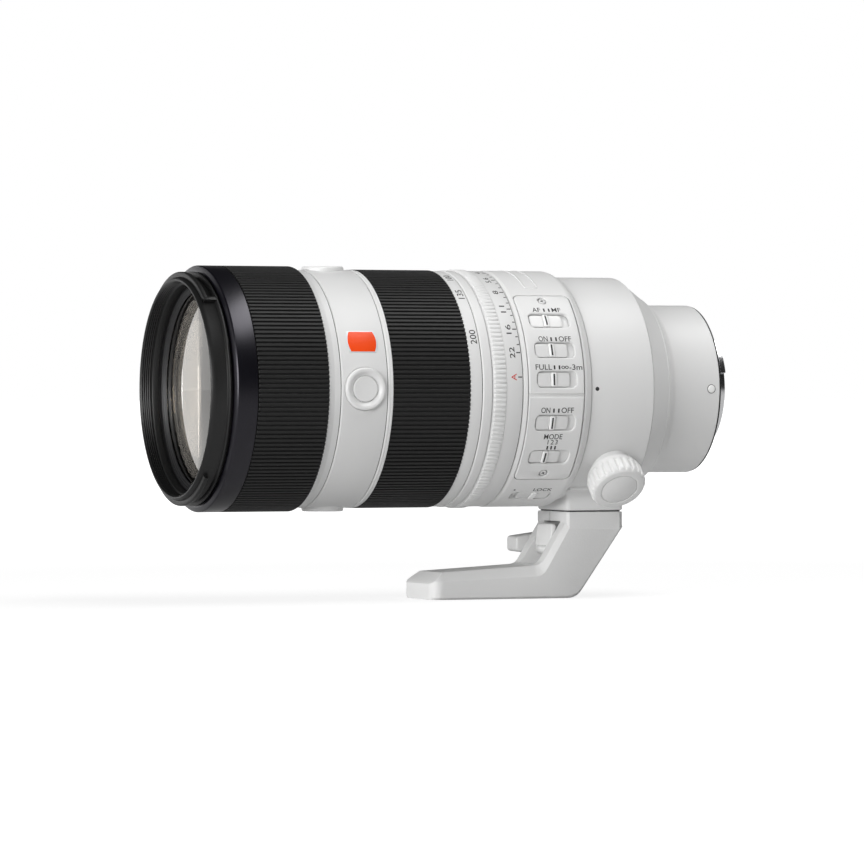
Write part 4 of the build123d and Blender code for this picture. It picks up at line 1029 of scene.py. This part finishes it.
for node, angle in slide_places.items():
    length = mode_cap_length if node == "stabiliser_mode_switch" else cap_length
    for piece in slide_switch(node, slot_x, angle, length, 1):
        belongs(piece, node, "switch_white", node)
for node, x, angle, towards, line_width in (
    ("iris_lock_switch", lock_x, lock_angle, -1, 0),
    ("iris_click_switch", slot_x, click_angle, 1, 0.6 * mm),
):
    for piece in slide_switch(node, x, angle, cap_length, towards, line_width):
        belongs(piece, node, "switch_white", node)


# Marks on the switch panel
# Pad printed in black on the plates: two or three index bars over each switch, and the plain
# words and numbers for its places.

bar_pitch = 1.9 * mm
bar_height = 1.5 * mm
word_size = 2.8 * mm


def row_angle(node, rise):
    """The angle of a row of marks that stands this far above its switch."""
    return slide_places[node] + degrees(rise / plate_radius)


def index_bars(node, count, pitch, x, rise):
    for k in range(count):
        place = x + (k - (count - 1) / 2) * pitch
        mark = bar(f"{node}_bar_{k}", 0.62 * mm, bar_height, place, row_angle(node, rise), plate_radius,
                   black_ink)
        belongs(mark, "barrel", "white_paint")


def switch_words(node, left, right, x, rise):
    """One word each side of the bars: its characters, its length, and its distance from the middle, in mm."""
    for side, (words, reach, gap) in ((-1, left), (1, right)):
        place = x + side * (gap + reach / 2) * mm
        label = printed(f"{node}_word_{side + 1}", words, word_size, place, row_angle(node, rise),
                        plate_radius, black_ink, reach=reach * mm)
        belongs(label, "barrel", "white_paint")


upper_bar_x = slot_x + 0.1 * mm
lower_bar_x = slot_x - 0.15 * mm
on_word = ("ON", 3.5, 2.35)
off_word = ("OFF", 4.8, 2.0)
for node, left, right, x, rise in (
    ("focus_mode_switch", ("AF", 3.1, 2.4), ("MF", 3.5, 2.05), upper_bar_x, 4.65 * mm),
    ("manual_assist_switch", on_word, off_word, upper_bar_x, 4.15 * mm),
    ("range_limit_switch", ("FULL", 6.3, 2.0), ("\u221e-3m", 8.1, 1.7), upper_bar_x, 4.4 * mm),
    ("stabiliser_switch", on_word, off_word, lower_bar_x, 4.65 * mm),
):
    index_bars(node, 2, bar_pitch, x, rise)
    switch_words(node, left, right, x, rise)
index_bars("stabiliser_mode_switch", 3, 1.5 * mm, lower_bar_x, 4.2 * mm)
digit_size = 2.6 * mm
digit_pitch = 1.65 * mm
digit_angle = row_angle("stabiliser_mode_switch", 6.35 * mm)
for k, words in enumerate(("1", "2", "3")):
    digit_x = lower_bar_x + (k - 1) * digit_pitch
    digit = printed(f"mode_digit_{words}", words, digit_size, digit_x, digit_angle, plate_radius, black_ink)
    belongs(digit, "barrel", "white_paint")
mode_angle = row_angle("stabiliser_mode_switch", 8.5 * mm)
mode_word = printed("mode_word", "MODE", word_size, lower_bar_x, mode_angle, plate_radius, black_ink,
                    reach=7.1 * mm)
belongs(mode_word, "barrel", "white_paint")
lock_row_angle = -57.9
lock_word_x = barrel_front + 15.8 * mm
lock_dot_x = barrel_front + 4.8 * mm
lock_dot_size = 0.7 * mm
lock_word = printed("lock_word", "LOCK", digit_size, lock_word_x, lock_row_angle, barrel_radius, black_ink,
                    reach=7.2 * mm)
belongs(lock_word, "barrel", "white_paint")
lock_dot = bar("lock_dot", lock_dot_size, lock_dot_size, lock_dot_x, lock_row_angle, barrel_radius, black_ink)
belongs(lock_dot, "barrel", "white_paint")


# Rear barrel
# One casting behind the collar. It narrows in a straight taper and a hollow curve to the slim
# tube that carries the mount, and is painted like the rest.

taper_front = span("tripod_collar")[1] + 0.3 * mm
rear_end = span("rear_barrel")[1]
taper_rear = taper_front + 9.4 * mm
tube_front = taper_rear + 3.9 * mm
cove_points = []
for k in range(9):
    share = k / 8
    fall = (1 - share) ** 2
    cove_points.append((taper_rear + (tube_front - taper_rear) * share, (30.8 + 2.5 * fall) * mm, 0))
rear_outline = [
    *section(taper_front, (0, 36.6), (0, 39.8), (0.3, 40.05)),
    *section(taper_rear, (-0.55, 33.88), (-0.4, 33.92), (-0.2, 33.85), (-0.1, 33.6)),
    *cove_points,
    *section(rear_end, (-0.25, 30.8), (0, 30.55), (0, 29.1)),
    *section(tube_front, (0, 29.0)),
    *section(taper_front, (2.2, 34.7), (0.2, 34.7)),
]
rear_shell = turned("rear_barrel_shell", rear_outline, white, 25)
belongs(rear_shell, "barrel", "white_paint", "rear_barrel")
sleeve_front = span("rear_barrel")[0]
sleeve_outline = section(sleeve_front, (0, 34.7), (0, 36.5)) + section(taper_front, (0, 36.5), (0, 34.7))
sleeve = turned("rear_barrel_sleeve", sleeve_outline, anodised)
belongs(sleeve, "barrel", "inner_black")


# Mount index bead
# A round white bead pressed into the rear tube, that lines the lens up with the camera. A black
# disc under it shows as a thin dark ring round it, painted shade for the groove it sits in.

bead_x = rear_end - 3.4 * mm
bead_outline = section(0, (30.0, 0), (30.0, 1.42), (31.0, 1.42), (31.12, 1.3), (31.2, 1.0), (31.24, 0.5),
                       (31.24, 0))
bead_white = surface("white_bead", (0.95, 0.95, 0.94), 0.2, lumps=0.5 * mm, dull=(0.16, 0.24))
bead_white.node_tree.nodes["Principled BSDF"].inputs["Coat Weight"].default_value = 0.5
tube_radius = 30.8 * mm
shade_disc_radius = 1.65 * mm
shade_disc_outline = rounded(2 * shade_disc_radius, 2 * shade_disc_radius, shade_disc_radius * 0.994)
# Black disc just wider than the bead: painted shade of the groove round it.
bead_shade_disc = slab("bead_shade_disc", [shade_disc_outline], -0.1 * mm, 0.05 * mm, 0.02 * mm, anodised)
belongs(bent(bead_shade_disc, bead_x, 0, tube_radius), "barrel", "inner_black")
bead = spun("mount_index_dot", bead_outline, even_turns(48), on_barrel(bead_x, 0), bead_white, 60)
belongs(bead, "barrel", "bead_white", "mount_index_bead")


# Mount gasket, bayonet, screws and contacts
# A chromed brass bayonet with three claws, held by four sunk screws, with a soft black gasket
# round its flange. The black baffle inside carries a row of gold plated contacts.

def machined_chrome():
    material, shader = finish("machined_chrome", (0.74, 0.74, 0.75), 0.2, 1.0)
    tree = material.node_tree
    place = shader_node(tree, "TexCoord")
    ring_pitch = 0.9 * mm
    rings = shader_node(tree, "TexWave", wave_type="RINGS", rings_direction="X", Scale=1 / ring_pitch,
                        Distortion=0.4)
    tree.links.new(place.outputs["Object"], rings.inputs["Vector"])
    dulled(material, shader, rings.outputs["Fac"], 0.16, 0.28)
    raised(material, shader, rings.outputs["Fac"], 0.002 * mm, 0.5)
    return material


black_plastic = surface("black_moulding", (0.018, 0.018, 0.018), 0.5, dull=(0.45, 0.6), bump=(0.02 * mm, 0.6),
                        tones=((0.013, 0.013, 0.013), (0.024, 0.024, 0.024)))
gasket_rubber = surface("soft_gasket", (0.012, 0.012, 0.012), 0.6, lumps=0.3 * mm, dull=(0.55, 0.7),
                        bump=(0.02 * mm, 0.5))
gold = surface("gold_plate", (0.83, 0.6, 0.25), 0.22, metallic=1.0, lumps=0.1 * mm, dull=(0.18, 0.3),
               tones=((0.78, 0.55, 0.21), (0.88, 0.66, 0.3)))
dress("bayonet_mount", machined_chrome())
dress("mount_gasket", gasket_rubber)
dress("rear_baffle", black_plastic)
dress("contact_block", black_plastic)
dress("contact_pins", gold)
mount_screw_circle = 27.0 * mm
mount_screw_radius = 1.4 * mm
mount_screw_sink = 0.05 * mm
for number in range(4):
    turn = radians(10 + 90 * number)
    place = Matrix.Translation(round_point(0, mount_screw_circle, turn)) @ optical_axis
    mount_screw = screw(f"mount_screw_{number}", place, mount_screw_radius, -mount_screw_sink, 0.2, steel)
    belongs(mount_screw, "barrel", "steel", "mount_screws")


# Tripod collar
# A white painted magnesium ring that turns round the rear barrel, with a solid block below
# it for the foot, and a dovetail holds the foot. A thin black plate under the block is
# painted shade, for the shadow in the seam between block and foot.

collar_front, collar_rear = span("tripod_collar")
collar_radius = 40.8 * mm
collar_shape = ring_outline(collar_front, collar_rear, 36.8 * mm, collar_radius)
collar = turned("tripod_collar_ring", collar_shape, white)
belongs(collar, "tripod_collar", "white_paint", "tripod_collar")
block_front = collar_front + 2.0 * mm
block_rear = collar_rear - 0.05 * mm
block_half = 14.0 * mm
block_bottom = -44.3 * mm


def block_loops():
    """Rounded rectangles from the block's foot up into the ring, wider as they rise into it. Each row is
    its height, how far it flares out and how far its edge is drawn in, in mm."""
    loops = []
    rows = ((0, 0, 0.4), (0.3, 0, 0.06), (0.45, 0, 0), (3.0, 0, 0), (4.0, 0.15, 0), (5.0, 0.6, 0),
            (5.8, 1.3, 0), (6.5, 2.4, 0), (7.2, 4.2, 0), (7.6, 6.0, 0), (8.6, 6.0, 0))
    for rise, flare, inset in rows:
        front = max(block_front + inset * mm - flare * 0.5 * mm, collar_front + 0.35 * mm)
        rear = block_rear - inset * mm
        half = block_half - inset * mm + flare * mm
        middle = ((front + rear) / 2, 0)
        loop = rounded(rear - front, 2 * half, 1.6 * mm, middle, 5)
        loops.append([(x, y, block_bottom + rise * mm) for x, y in loop])
    return loops


block = lofted("collar_block", block_loops(), white, 30)
belongs(block, "tripod_collar", "white_paint")


def square_loop(front, rear, half, z):
    """A level rectangle from the front to the rear, and this far to each side."""
    return [(front, -half, z), (rear, -half, z), (rear, half, z), (front, half, z)]


tongue_loops = []
for depth, half in ((44.2 * mm, 6.0 * mm), (44.4 * mm, 6.0 * mm), (48.3 * mm, 8.4 * mm),
                    (48.5 * mm, 8.4 * mm)):
    tongue_loops.append(square_loop(block_front + 2.6 * mm, block_rear - 2.5 * mm, half, -depth))
tongue = lofted("collar_tongue", tongue_loops, anodised, 20)
belongs(tongue, "tripod_collar", "white_paint")
# The thin black plate is painted shade, for the shadow in the seam under the block.
shade_plate_outline = rounded(20.9 * mm, 26.6 * mm, 1.2 * mm, ((block_front + block_rear) / 2, 0))
shade_plate_loops = [[(x, y, z) for x, y in shade_plate_outline] for z in (-44.2 * mm, -44.7 * mm)]
shade_plate = lofted("collar_shade_plate", shade_plate_loops, anodised, 20)
belongs(shade_plate, "tripod_collar", "inner_black")
dot_outline = rounded(1.5 * mm, 1.5 * mm, 0.74 * mm)
collar_dot = slab("collar_index_dot", [dot_outline], -0.05 * mm, ink_height, 0, black_ink)
collar_dot = bent(collar_dot, collar_front + 2.3 * mm, 0, collar_radius)
belongs(collar_dot, "tripod_collar", "white_paint")


# Lock knob
# A moulded white knob with rounded ribs, fixed on the clamp screw. A plain skirt faces the
# collar's boss, and a round inlay is set in its flat face.

knob_x = collar_front + 12.7 * mm
knob_angle = -44.6
knob_place = on_barrel(knob_x, knob_angle)
knob_base = 42.9 * mm
boss_outline = section(0, (37.5, 0), (37.5, 8.6), (40.4, 8.1), (41.3, 7.6), (41.8, 7.5), (42.4, 7.5),
                       (42.6, 7.3), (42.6, 0))
boss = spun("clamp_boss", boss_outline, even_turns(96), knob_place, white, 30)
belongs(boss, "tripod_collar", "white_paint")
knob_give = 0.6
knob_rib_shares = ((0.0, 1.0), (0.14, 1.0), (0.2, 0.7), (0.27, 0.25), (0.35, 0.05), (0.45, 0.0), (0.7, 0.0),
                   (0.8, 0.05), (0.88, 0.25), (0.94, 0.7))
knob_outline = section(knob_base, (0, 0), (0, 9.2), (0.2, 9.4), (1.9, 9.4), (2.05, 9.6, 0.1),
                       (2.3, 10.2, knob_give * 0.9), (2.6, 10.3, knob_give), (6.9, 10.3, knob_give),
                       (7.5, 10.2, knob_give * 0.9), (7.9, 9.95, knob_give * 0.5), (8.15, 9.7, 0.05),
                       (8.65, 9.25), (8.8, 8.95), (8.8, 6.95), (8.72, 6.87), (8.5, 6.85), (8.5, 6.65),
                       (8.68, 6.6), (8.75, 6.5), (8.75, 0))
knob = spun("lock_knob_ribbed", knob_outline, ribs(24, knob_rib_shares), knob_place, moulding, 35)
belongs(knob, "lock_knob", "white_paint", "lock_knob")


# Tripod foot
# A cast magnesium foot, painted with a coarser texture than the barrel. It hangs on the
# collar's dovetail by a slit jaw, sweeps down and forwards, and has a long flat sole.

texture = surface("textured_paint", (0.77, 0.77, 0.765), 0.46, lumps=0.8 * mm, detail=3.0, broad=20 * mm,
                  shine=0.3, tones=((0.755, 0.756, 0.752), (0.785, 0.785, 0.78)), dull=(0.4, 0.55),
                  bump=(0.07 * mm, 0.6))
foot_low, foot_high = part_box("tripod_foot")
foot_rear = foot_high.x
foot_half = foot_high.y
foot_top = foot_high.z
foot_base = foot_low.z
foot_toe = foot_low.x
nose_length = 5.3 * mm
foot_nose = foot_toe + nose_length
nose_fall = 4.1 * mm
nose_top = -66.3 * mm
nose_side = -69.7 * mm
neck_top = -64.1 * mm
sole_break = 0.8 * mm
jaw_x = foot_rear - 22.5 * mm
neck_x = foot_rear - 32.0 * mm
heel_x = foot_rear - 18.5 * mm
upper_line = ((jaw_x, foot_top), (jaw_x, -48.7 * mm), (neck_x, neck_top), (foot_nose, nose_top))
upper_side = ((jaw_x + 0.9 * mm, foot_top), (jaw_x + 0.9 * mm, -50.7 * mm), (neck_x, -68.0 * mm),
              (foot_nose, nose_side))
lower_line = ((foot_rear, foot_top), (foot_rear, -50.1 * mm), (heel_x, foot_base), (foot_nose, foot_base))
lower_side = ((foot_rear - 1.8 * mm, foot_top), (foot_rear - 1.8 * mm, -51.1 * mm),
              (heel_x - 0.5 * mm, foot_base + sole_break), (foot_nose, foot_base + sole_break))


def side_line(corners, eases, steps=6):
    """A side line through four corners, with the two in the middle rounded."""
    points = [Vector(corners[0])]
    for k, ease in ((1, eases[0]), (2, eases[1])):
        corner = Vector(corners[k])
        back = Vector(corners[k - 1]) - corner
        ahead = Vector(corners[k + 1]) - corner
        reach = ease / tan(back.angle(ahead) / 2)
        points += corner_points(corner, back, ahead, reach, steps)
    points.append(Vector(corners[3]))
    return points


def foot_loop(upper, side_upper, lower, side_lower, half, slope, break_width):
    """One cross section: a flat top between two slopes, upright sides, and a flat underside."""
    return [
        (side_upper[0], half, side_upper[1]),
        (upper[0], half - slope, upper[1]),
        (upper[0], slope - half, upper[1]),
        (side_upper[0], -half, side_upper[1]),
        (side_lower[0], -half, side_lower[1]),
        (lower[0], break_width - half, lower[1]),
        (lower[0], half - break_width, lower[1]),
        (side_lower[0], half, side_lower[1]),
    ]


def foot_loops():
    """Cross sections from the jaw down the neck and along the sole, then round the toe."""
    slopes = [0.9] + [0.9 + 0.15 * n for n in range(7)] + [1.9 + 0.22 * n for n in range(7)] + [3.4]
    breaks = [1.8] + [1.8 - 0.15 * n for n in range(7)] + [0.9] * 7 + [0.8]
    lines = [
        side_line(upper_line, (0.8 * mm, 5.5 * mm)),
        side_line(upper_side, (0.8 * mm, 5.5 * mm)),
        side_line(lower_line, (1.4 * mm, 7.0 * mm)),
        side_line(lower_side, (1.4 * mm, 7.0 * mm)),
    ]
    loops = []
    for *points, slope, break_width in zip(*lines, slopes, breaks):
        loops.append(foot_loop(*points, foot_half, slope * mm, break_width * mm))
    corner = 4.3 * mm
    corner_steps = 8
    for n in range(corner_steps + 1):
        angle = pi / 2 * (1 - n / corner_steps)
        x = foot_toe + corner * (1 - cos(angle))
        half = foot_half - corner * (1 - sin(angle))
        nose = nose_top - (foot_nose - x) * nose_fall / nose_length
        slope = max(nose - nose_side, 0.05 * mm)
        loops.append(foot_loop((x, nose), (x, nose - slope), (x, foot_base), (x, foot_base + sole_break),
                               half, slope, sole_break))
    return loops


def prism(name, outline, low, high, material):
    """A side outline of (x, z) points, spread from one y to another."""
    return lofted(name, [[(x, y, z) for x, z in outline] for y in (low, high)], material)


def block_cutter(low, high):
    """A box between two corners, as a cutter."""
    outline = [(low[0], low[2]), (high[0], low[2]), (high[0], high[2]), (low[0], high[2])]
    return prism("cutter", outline, low[1], high[1], white)


foot = lofted("tripod_foot_body", foot_loops(), texture)
window_rear = foot_rear - 14.5 * mm
window_half = 7.4 * mm
window = block_cutter((foot_rear - 33 * mm, -window_half, neck_top), (window_rear, window_half, -48.3 * mm))
slit = block_cutter((foot_rear - 23 * mm, 1.6 * mm, -49.3 * mm), (foot_rear - 19 * mm, 2.4 * mm, -44.0 * mm))
channel_front = block_front + 1.3 * mm
channel_loops = []
for depth, half in ((44.0 * mm, 6.1 * mm), (48.8 * mm, 9.0 * mm)):
    channel_loops.append(square_loop(channel_front, foot_rear + 2 * mm, half, -depth))
channel = lofted("channel", channel_loops, white)
socket_x = foot_toe + 27 * mm
socket_loops = [round_loop(socket_x, 0, z, 4.55 * mm, 48) for z in (foot_base - 1 * mm, foot_base + 8 * mm)]
socket_hole = lofted("socket_hole", socket_loops, white)
cut(foot, [window, slit, channel, socket_hole])
round_edges(foot, 0.45 * mm, 3, 28)
belongs(foot, "tripod_foot", "white_paint", "tripod_foot")


# Release tab
# A small white rocker in the window of the neck, on a cross pin at its foot. Pressed in at
# the top, it frees the foot to slide off the dovetail.

tab_x = foot_rear - 25.3 * mm
tab_sheet = 1.8 * mm
tab_lean_share = 0.13
tab_outline = rounded(14.0 * mm, 8.6 * mm, 1.7 * mm, (0, -53.6 * mm))
tab_loops = []
for face_x in (tab_x, tab_x + tab_sheet):
    tab_loops.append([(face_x + (z + 49.3 * mm) * tab_lean_share, y, z) for y, z in tab_outline])
tab = lofted("release_tab_plate", tab_loops, moulding)
round_edges(tab, 0.5 * mm, 3)
belongs(tab, "release_tab", "white_paint", "release_tab")
tab_pin_x = tab_x - 0.3 * mm
across = Matrix(((1, 0, 0, tab_pin_x), (0, 0, 1, 0), (0, 1, 0, -58.6 * mm), (0, 0, 0, 1)))
boss_outline = section(0, (-4.0, 0), (-4.0, 1.4), (-3.7, 1.7), (3.7, 1.7), (4.0, 1.4), (4.0, 0))
tab_boss = spun("release_tab_boss", boss_outline, even_turns(48), across, moulding, 50)
belongs(tab_boss, "release_tab", "white_paint")
latch_half = 2.5 * mm
latch_points = ((0.9, -49.8), (7.4, -49.8), (7.4, -48.7), (8.6, -48.7), (8.6, -51.2), (0.9, -51.2))
latch_side = [(tab_x + x * mm, z * mm) for x, z in latch_points]
tab_arm = prism("release_tab_latch", latch_side, -latch_half, latch_half, moulding)
belongs(tab_arm, "release_tab", "white_paint")


# Clamp lever
# A cast wing lever on the far side of the foot. Its shaft draws the slit jaw together, and
# its arm points forwards when the foot is clamped.

lever_x = foot_rear - 11.0 * mm
lever_z = -57.0 * mm
lever_inner = foot_half + 0.3 * mm
lever_outer = lever_inner + 9.8 * mm
lever_points = ((-19.4, 2.7), (-19.4, -2.7), (-1.0, -5.2), (3.6, -3.8), (5.2, 0), (3.6, 3.8), (-1.0, 5.2))
lever_side = [(lever_x + x * mm, lever_z + z * mm) for x, z in lever_points]
lever = prism("foot_lever_arm", lever_side, lever_inner, lever_outer, moulding)
round_edges(lever, 1.0 * mm, 3, 25)
belongs(lever, "foot_lever", "white_paint", "foot_lever")


# Studio
# A plain pale floor in a white room, a broad soft lamp over the camera's left shoulder, a softbox
# overhead that runs a highlight along the black rings, one ahead for the faces that look
# forwards, and a narrow strip behind that the front glass mirrors.

def wire(tree, *links):
    """Joins each output to its input."""
    for source, target in links:
        tree.links.new(source, target)


def bare_tree(owner):
    """The node tree of a material or a world, with nothing in it."""
    owner.use_nodes = True
    owner.node_tree.nodes.clear()
    return owner.node_tree


def mirror_rays(tree, rays):
    """1 for the rays that metal and glass send out."""
    either = shader_node(tree, "Math", operation="MAXIMUM")
    tree.links.new(rays.outputs["Is Glossy Ray"], either.inputs[0])
    tree.links.new(rays.outputs["Is Transmission Ray"], either.inputs[1])
    return either.outputs[0]


def pale_floor():
    """Matte, with the white of the background laid over it, so that only the shadow is left to see."""
    material = bpy.data.materials.new("pale_floor")
    tree = bare_tree(material)
    near_glow = 0.65
    far_glow = 1.0
    matte = shader_node(tree, "BsdfDiffuse", Color=(0.62, 0.62, 0.62, 1))
    glow = shader_node(tree, "Emission", Color=(1, 1, 1, 1), Strength=1.3)
    rays = shader_node(tree, "LightPath")
    spot = shader_node(tree, "NewGeometry")
    away = shader_node(tree, "VectorMath", operation="LENGTH")
    fade = shader_node(tree, "MapRange", From__Min=0.35, From__Max=1.4, To__Min=near_glow, To__Max=far_glow)
    seen = shader_node(tree, "Math", operation="MULTIPLY")
    place = shader_node(tree, "SeparateXYZ")
    behind = shader_node(tree, "MapRange", From__Min=0.1, From__Max=0.3, To__Min=0.12, To__Max=0.65)
    mirrored = shader_node(tree, "Math", operation="MULTIPLY")
    share = shader_node(tree, "Math", operation="MAXIMUM")
    mix = shader_node(tree, "MixShader")
    out = shader_node(tree, "OutputMaterial")
    wire(
        tree,
        (spot.outputs["Position"], away.inputs[0]),
        (away.outputs["Value"], fade.inputs["Value"]),
        (rays.outputs["Is Camera Ray"], seen.inputs[0]),
        (fade.outputs["Result"], seen.inputs[1]),
        (spot.outputs["Position"], place.inputs[0]),
        (place.outputs["Y"], behind.inputs["Value"]),
        (mirror_rays(tree, rays), mirrored.inputs[0]),
        (behind.outputs["Result"], mirrored.inputs[1]),
        (seen.outputs[0], share.inputs[0]),
        (mirrored.outputs[0], share.inputs[1]),
        (share.outputs[0], mix.inputs[0]),
        (matte.outputs[0], mix.inputs[1]),
        (glow.outputs[0], mix.inputs[2]),
        (mix.outputs[0], out.inputs["Surface"]),
    )
    return material


floor_reach = 30.0
floor_corners = ((-1, -1), (1, -1), (1, 1), (-1, 1))
floor_mesh = bpy.data.meshes.new("floor")
floor_mesh.from_pydata([(x * floor_reach, y * floor_reach, foot_base) for x, y in floor_corners], [],
                       [(0, 1, 2, 3)])
floor_mesh.materials.append(pale_floor())
floor = placed("floor", floor_mesh)


def white_room():
    """White to the camera. Metal and glass mirror it only where it is lit, low behind the lens."""
    world = bpy.data.worlds.new("studio")
    bpy.context.scene.world = world
    tree = bare_tree(world)
    rays = shader_node(tree, "LightPath")
    towards = shader_node(tree, "TexCoord")
    split = shader_node(tree, "SeparateXYZ")
    height = shader_node(tree, "Math", operation="ABSOLUTE")
    behind = shader_node(tree, "MapRange", From__Min=0.25, From__Max=0.55, To__Min=0.0, To__Max=1.0)
    level = shader_node(tree, "MapRange", From__Min=0.15, From__Max=0.4, To__Min=1.0, To__Max=0.0)
    lit = shader_node(tree, "Math", operation="MULTIPLY")
    leftwards = shader_node(tree, "MapRange", From__Min=0.15, From__Max=0.4, To__Min=1.0, To__Max=0.0)
    beside = shader_node(tree, "Math", operation="MULTIPLY")
    room = shader_node(tree, "MapRange", To__Min=0.02, To__Max=1.0)
    strength = shader_node(tree, "Math", operation="MAXIMUM")
    seen = shader_node(tree, "Background", Color=(1, 1, 1, 1))
    ambient = shader_node(tree, "Background", Color=(1, 1, 1, 1), Strength=0.165)
    share = shader_node(tree, "Math", operation="MAXIMUM")
    mix = shader_node(tree, "MixShader")
    out = shader_node(tree, "OutputWorld")
    wire(
        tree,
        (towards.outputs["Generated"], split.inputs[0]),
        (split.outputs["Y"], behind.inputs["Value"]),
        (split.outputs["Z"], height.inputs[0]),
        (height.outputs[0], level.inputs["Value"]),
        (behind.outputs["Result"], lit.inputs[0]),
        (level.outputs["Result"], lit.inputs[1]),
        (split.outputs["X"], leftwards.inputs["Value"]),
        (lit.outputs[0], beside.inputs[0]),
        (leftwards.outputs["Result"], beside.inputs[1]),
        (beside.outputs[0], room.inputs["Value"]),
        (rays.outputs["Is Camera Ray"], strength.inputs[0]),
        (room.outputs["Result"], strength.inputs[1]),
        (strength.outputs[0], seen.inputs["Strength"]),
        (rays.outputs["Is Camera Ray"], share.inputs[0]),
        (mirror_rays(tree, rays), share.inputs[1]),
        (share.outputs[0], mix.inputs[0]),
        (ambient.outputs[0], mix.inputs[1]),
        (seen.outputs[0], mix.inputs[2]),
        (mix.outputs[0], out.inputs["Surface"]),
    )


white_room()
aim = Vector((-101.3 * mm, 0, 0))
front_middle = Vector((front_rim, 0, 0))


def softbox(name, target, direction, distance, size, watts):
    """A rectangular lamp that looks at a point of the lens from this side."""
    light = bpy.data.lights.new(name, "AREA")
    light.shape = "RECTANGLE"
    light.size = size[0]
    light.size_y = size[1]
    light.energy = watts
    holder = placed(name, light)
    holder.location = target + Vector(direction).normalized() * distance
    holder.rotation_euler = (target - holder.location).to_track_quat("-Z", "Y").to_euler()


softbox("key_lamp", aim, (-0.82, -0.56, 0.1), 2.0, (1.1, 1.1), 31.5)
softbox("overhead_lamp", aim, (0.37, -0.26, 0.89), 1.1, (1.0, 0.45), 8.0)
softbox("front_lamp", aim, (-1.0, -0.03, 0.15), 2.0, (0.6, 0.6), 14.0)
softbox("rear_strip", front_middle, (-0.208, 0.978, 0.0), 1.2, (0.03, 0.9), 0.25)

view_distance = 1.898
view_turn = radians(21.87)
view_dip = radians(0.472)
bpy.context.scene.view_settings.view_transform = "Standard"
camera_data = bpy.data.cameras.new("camera")
camera_data.lens = 218.0
camera_data.sensor_width = 36.0
camera_data.clip_end = 100
camera = placed("camera", camera_data)
camera.location = aim + Vector((-view_distance * sin(view_turn), -view_distance * cos(view_turn), 0))
camera.rotation_euler = (pi / 2 - view_dip, 0, -view_turn)
bpy.context.scene.camera = camera
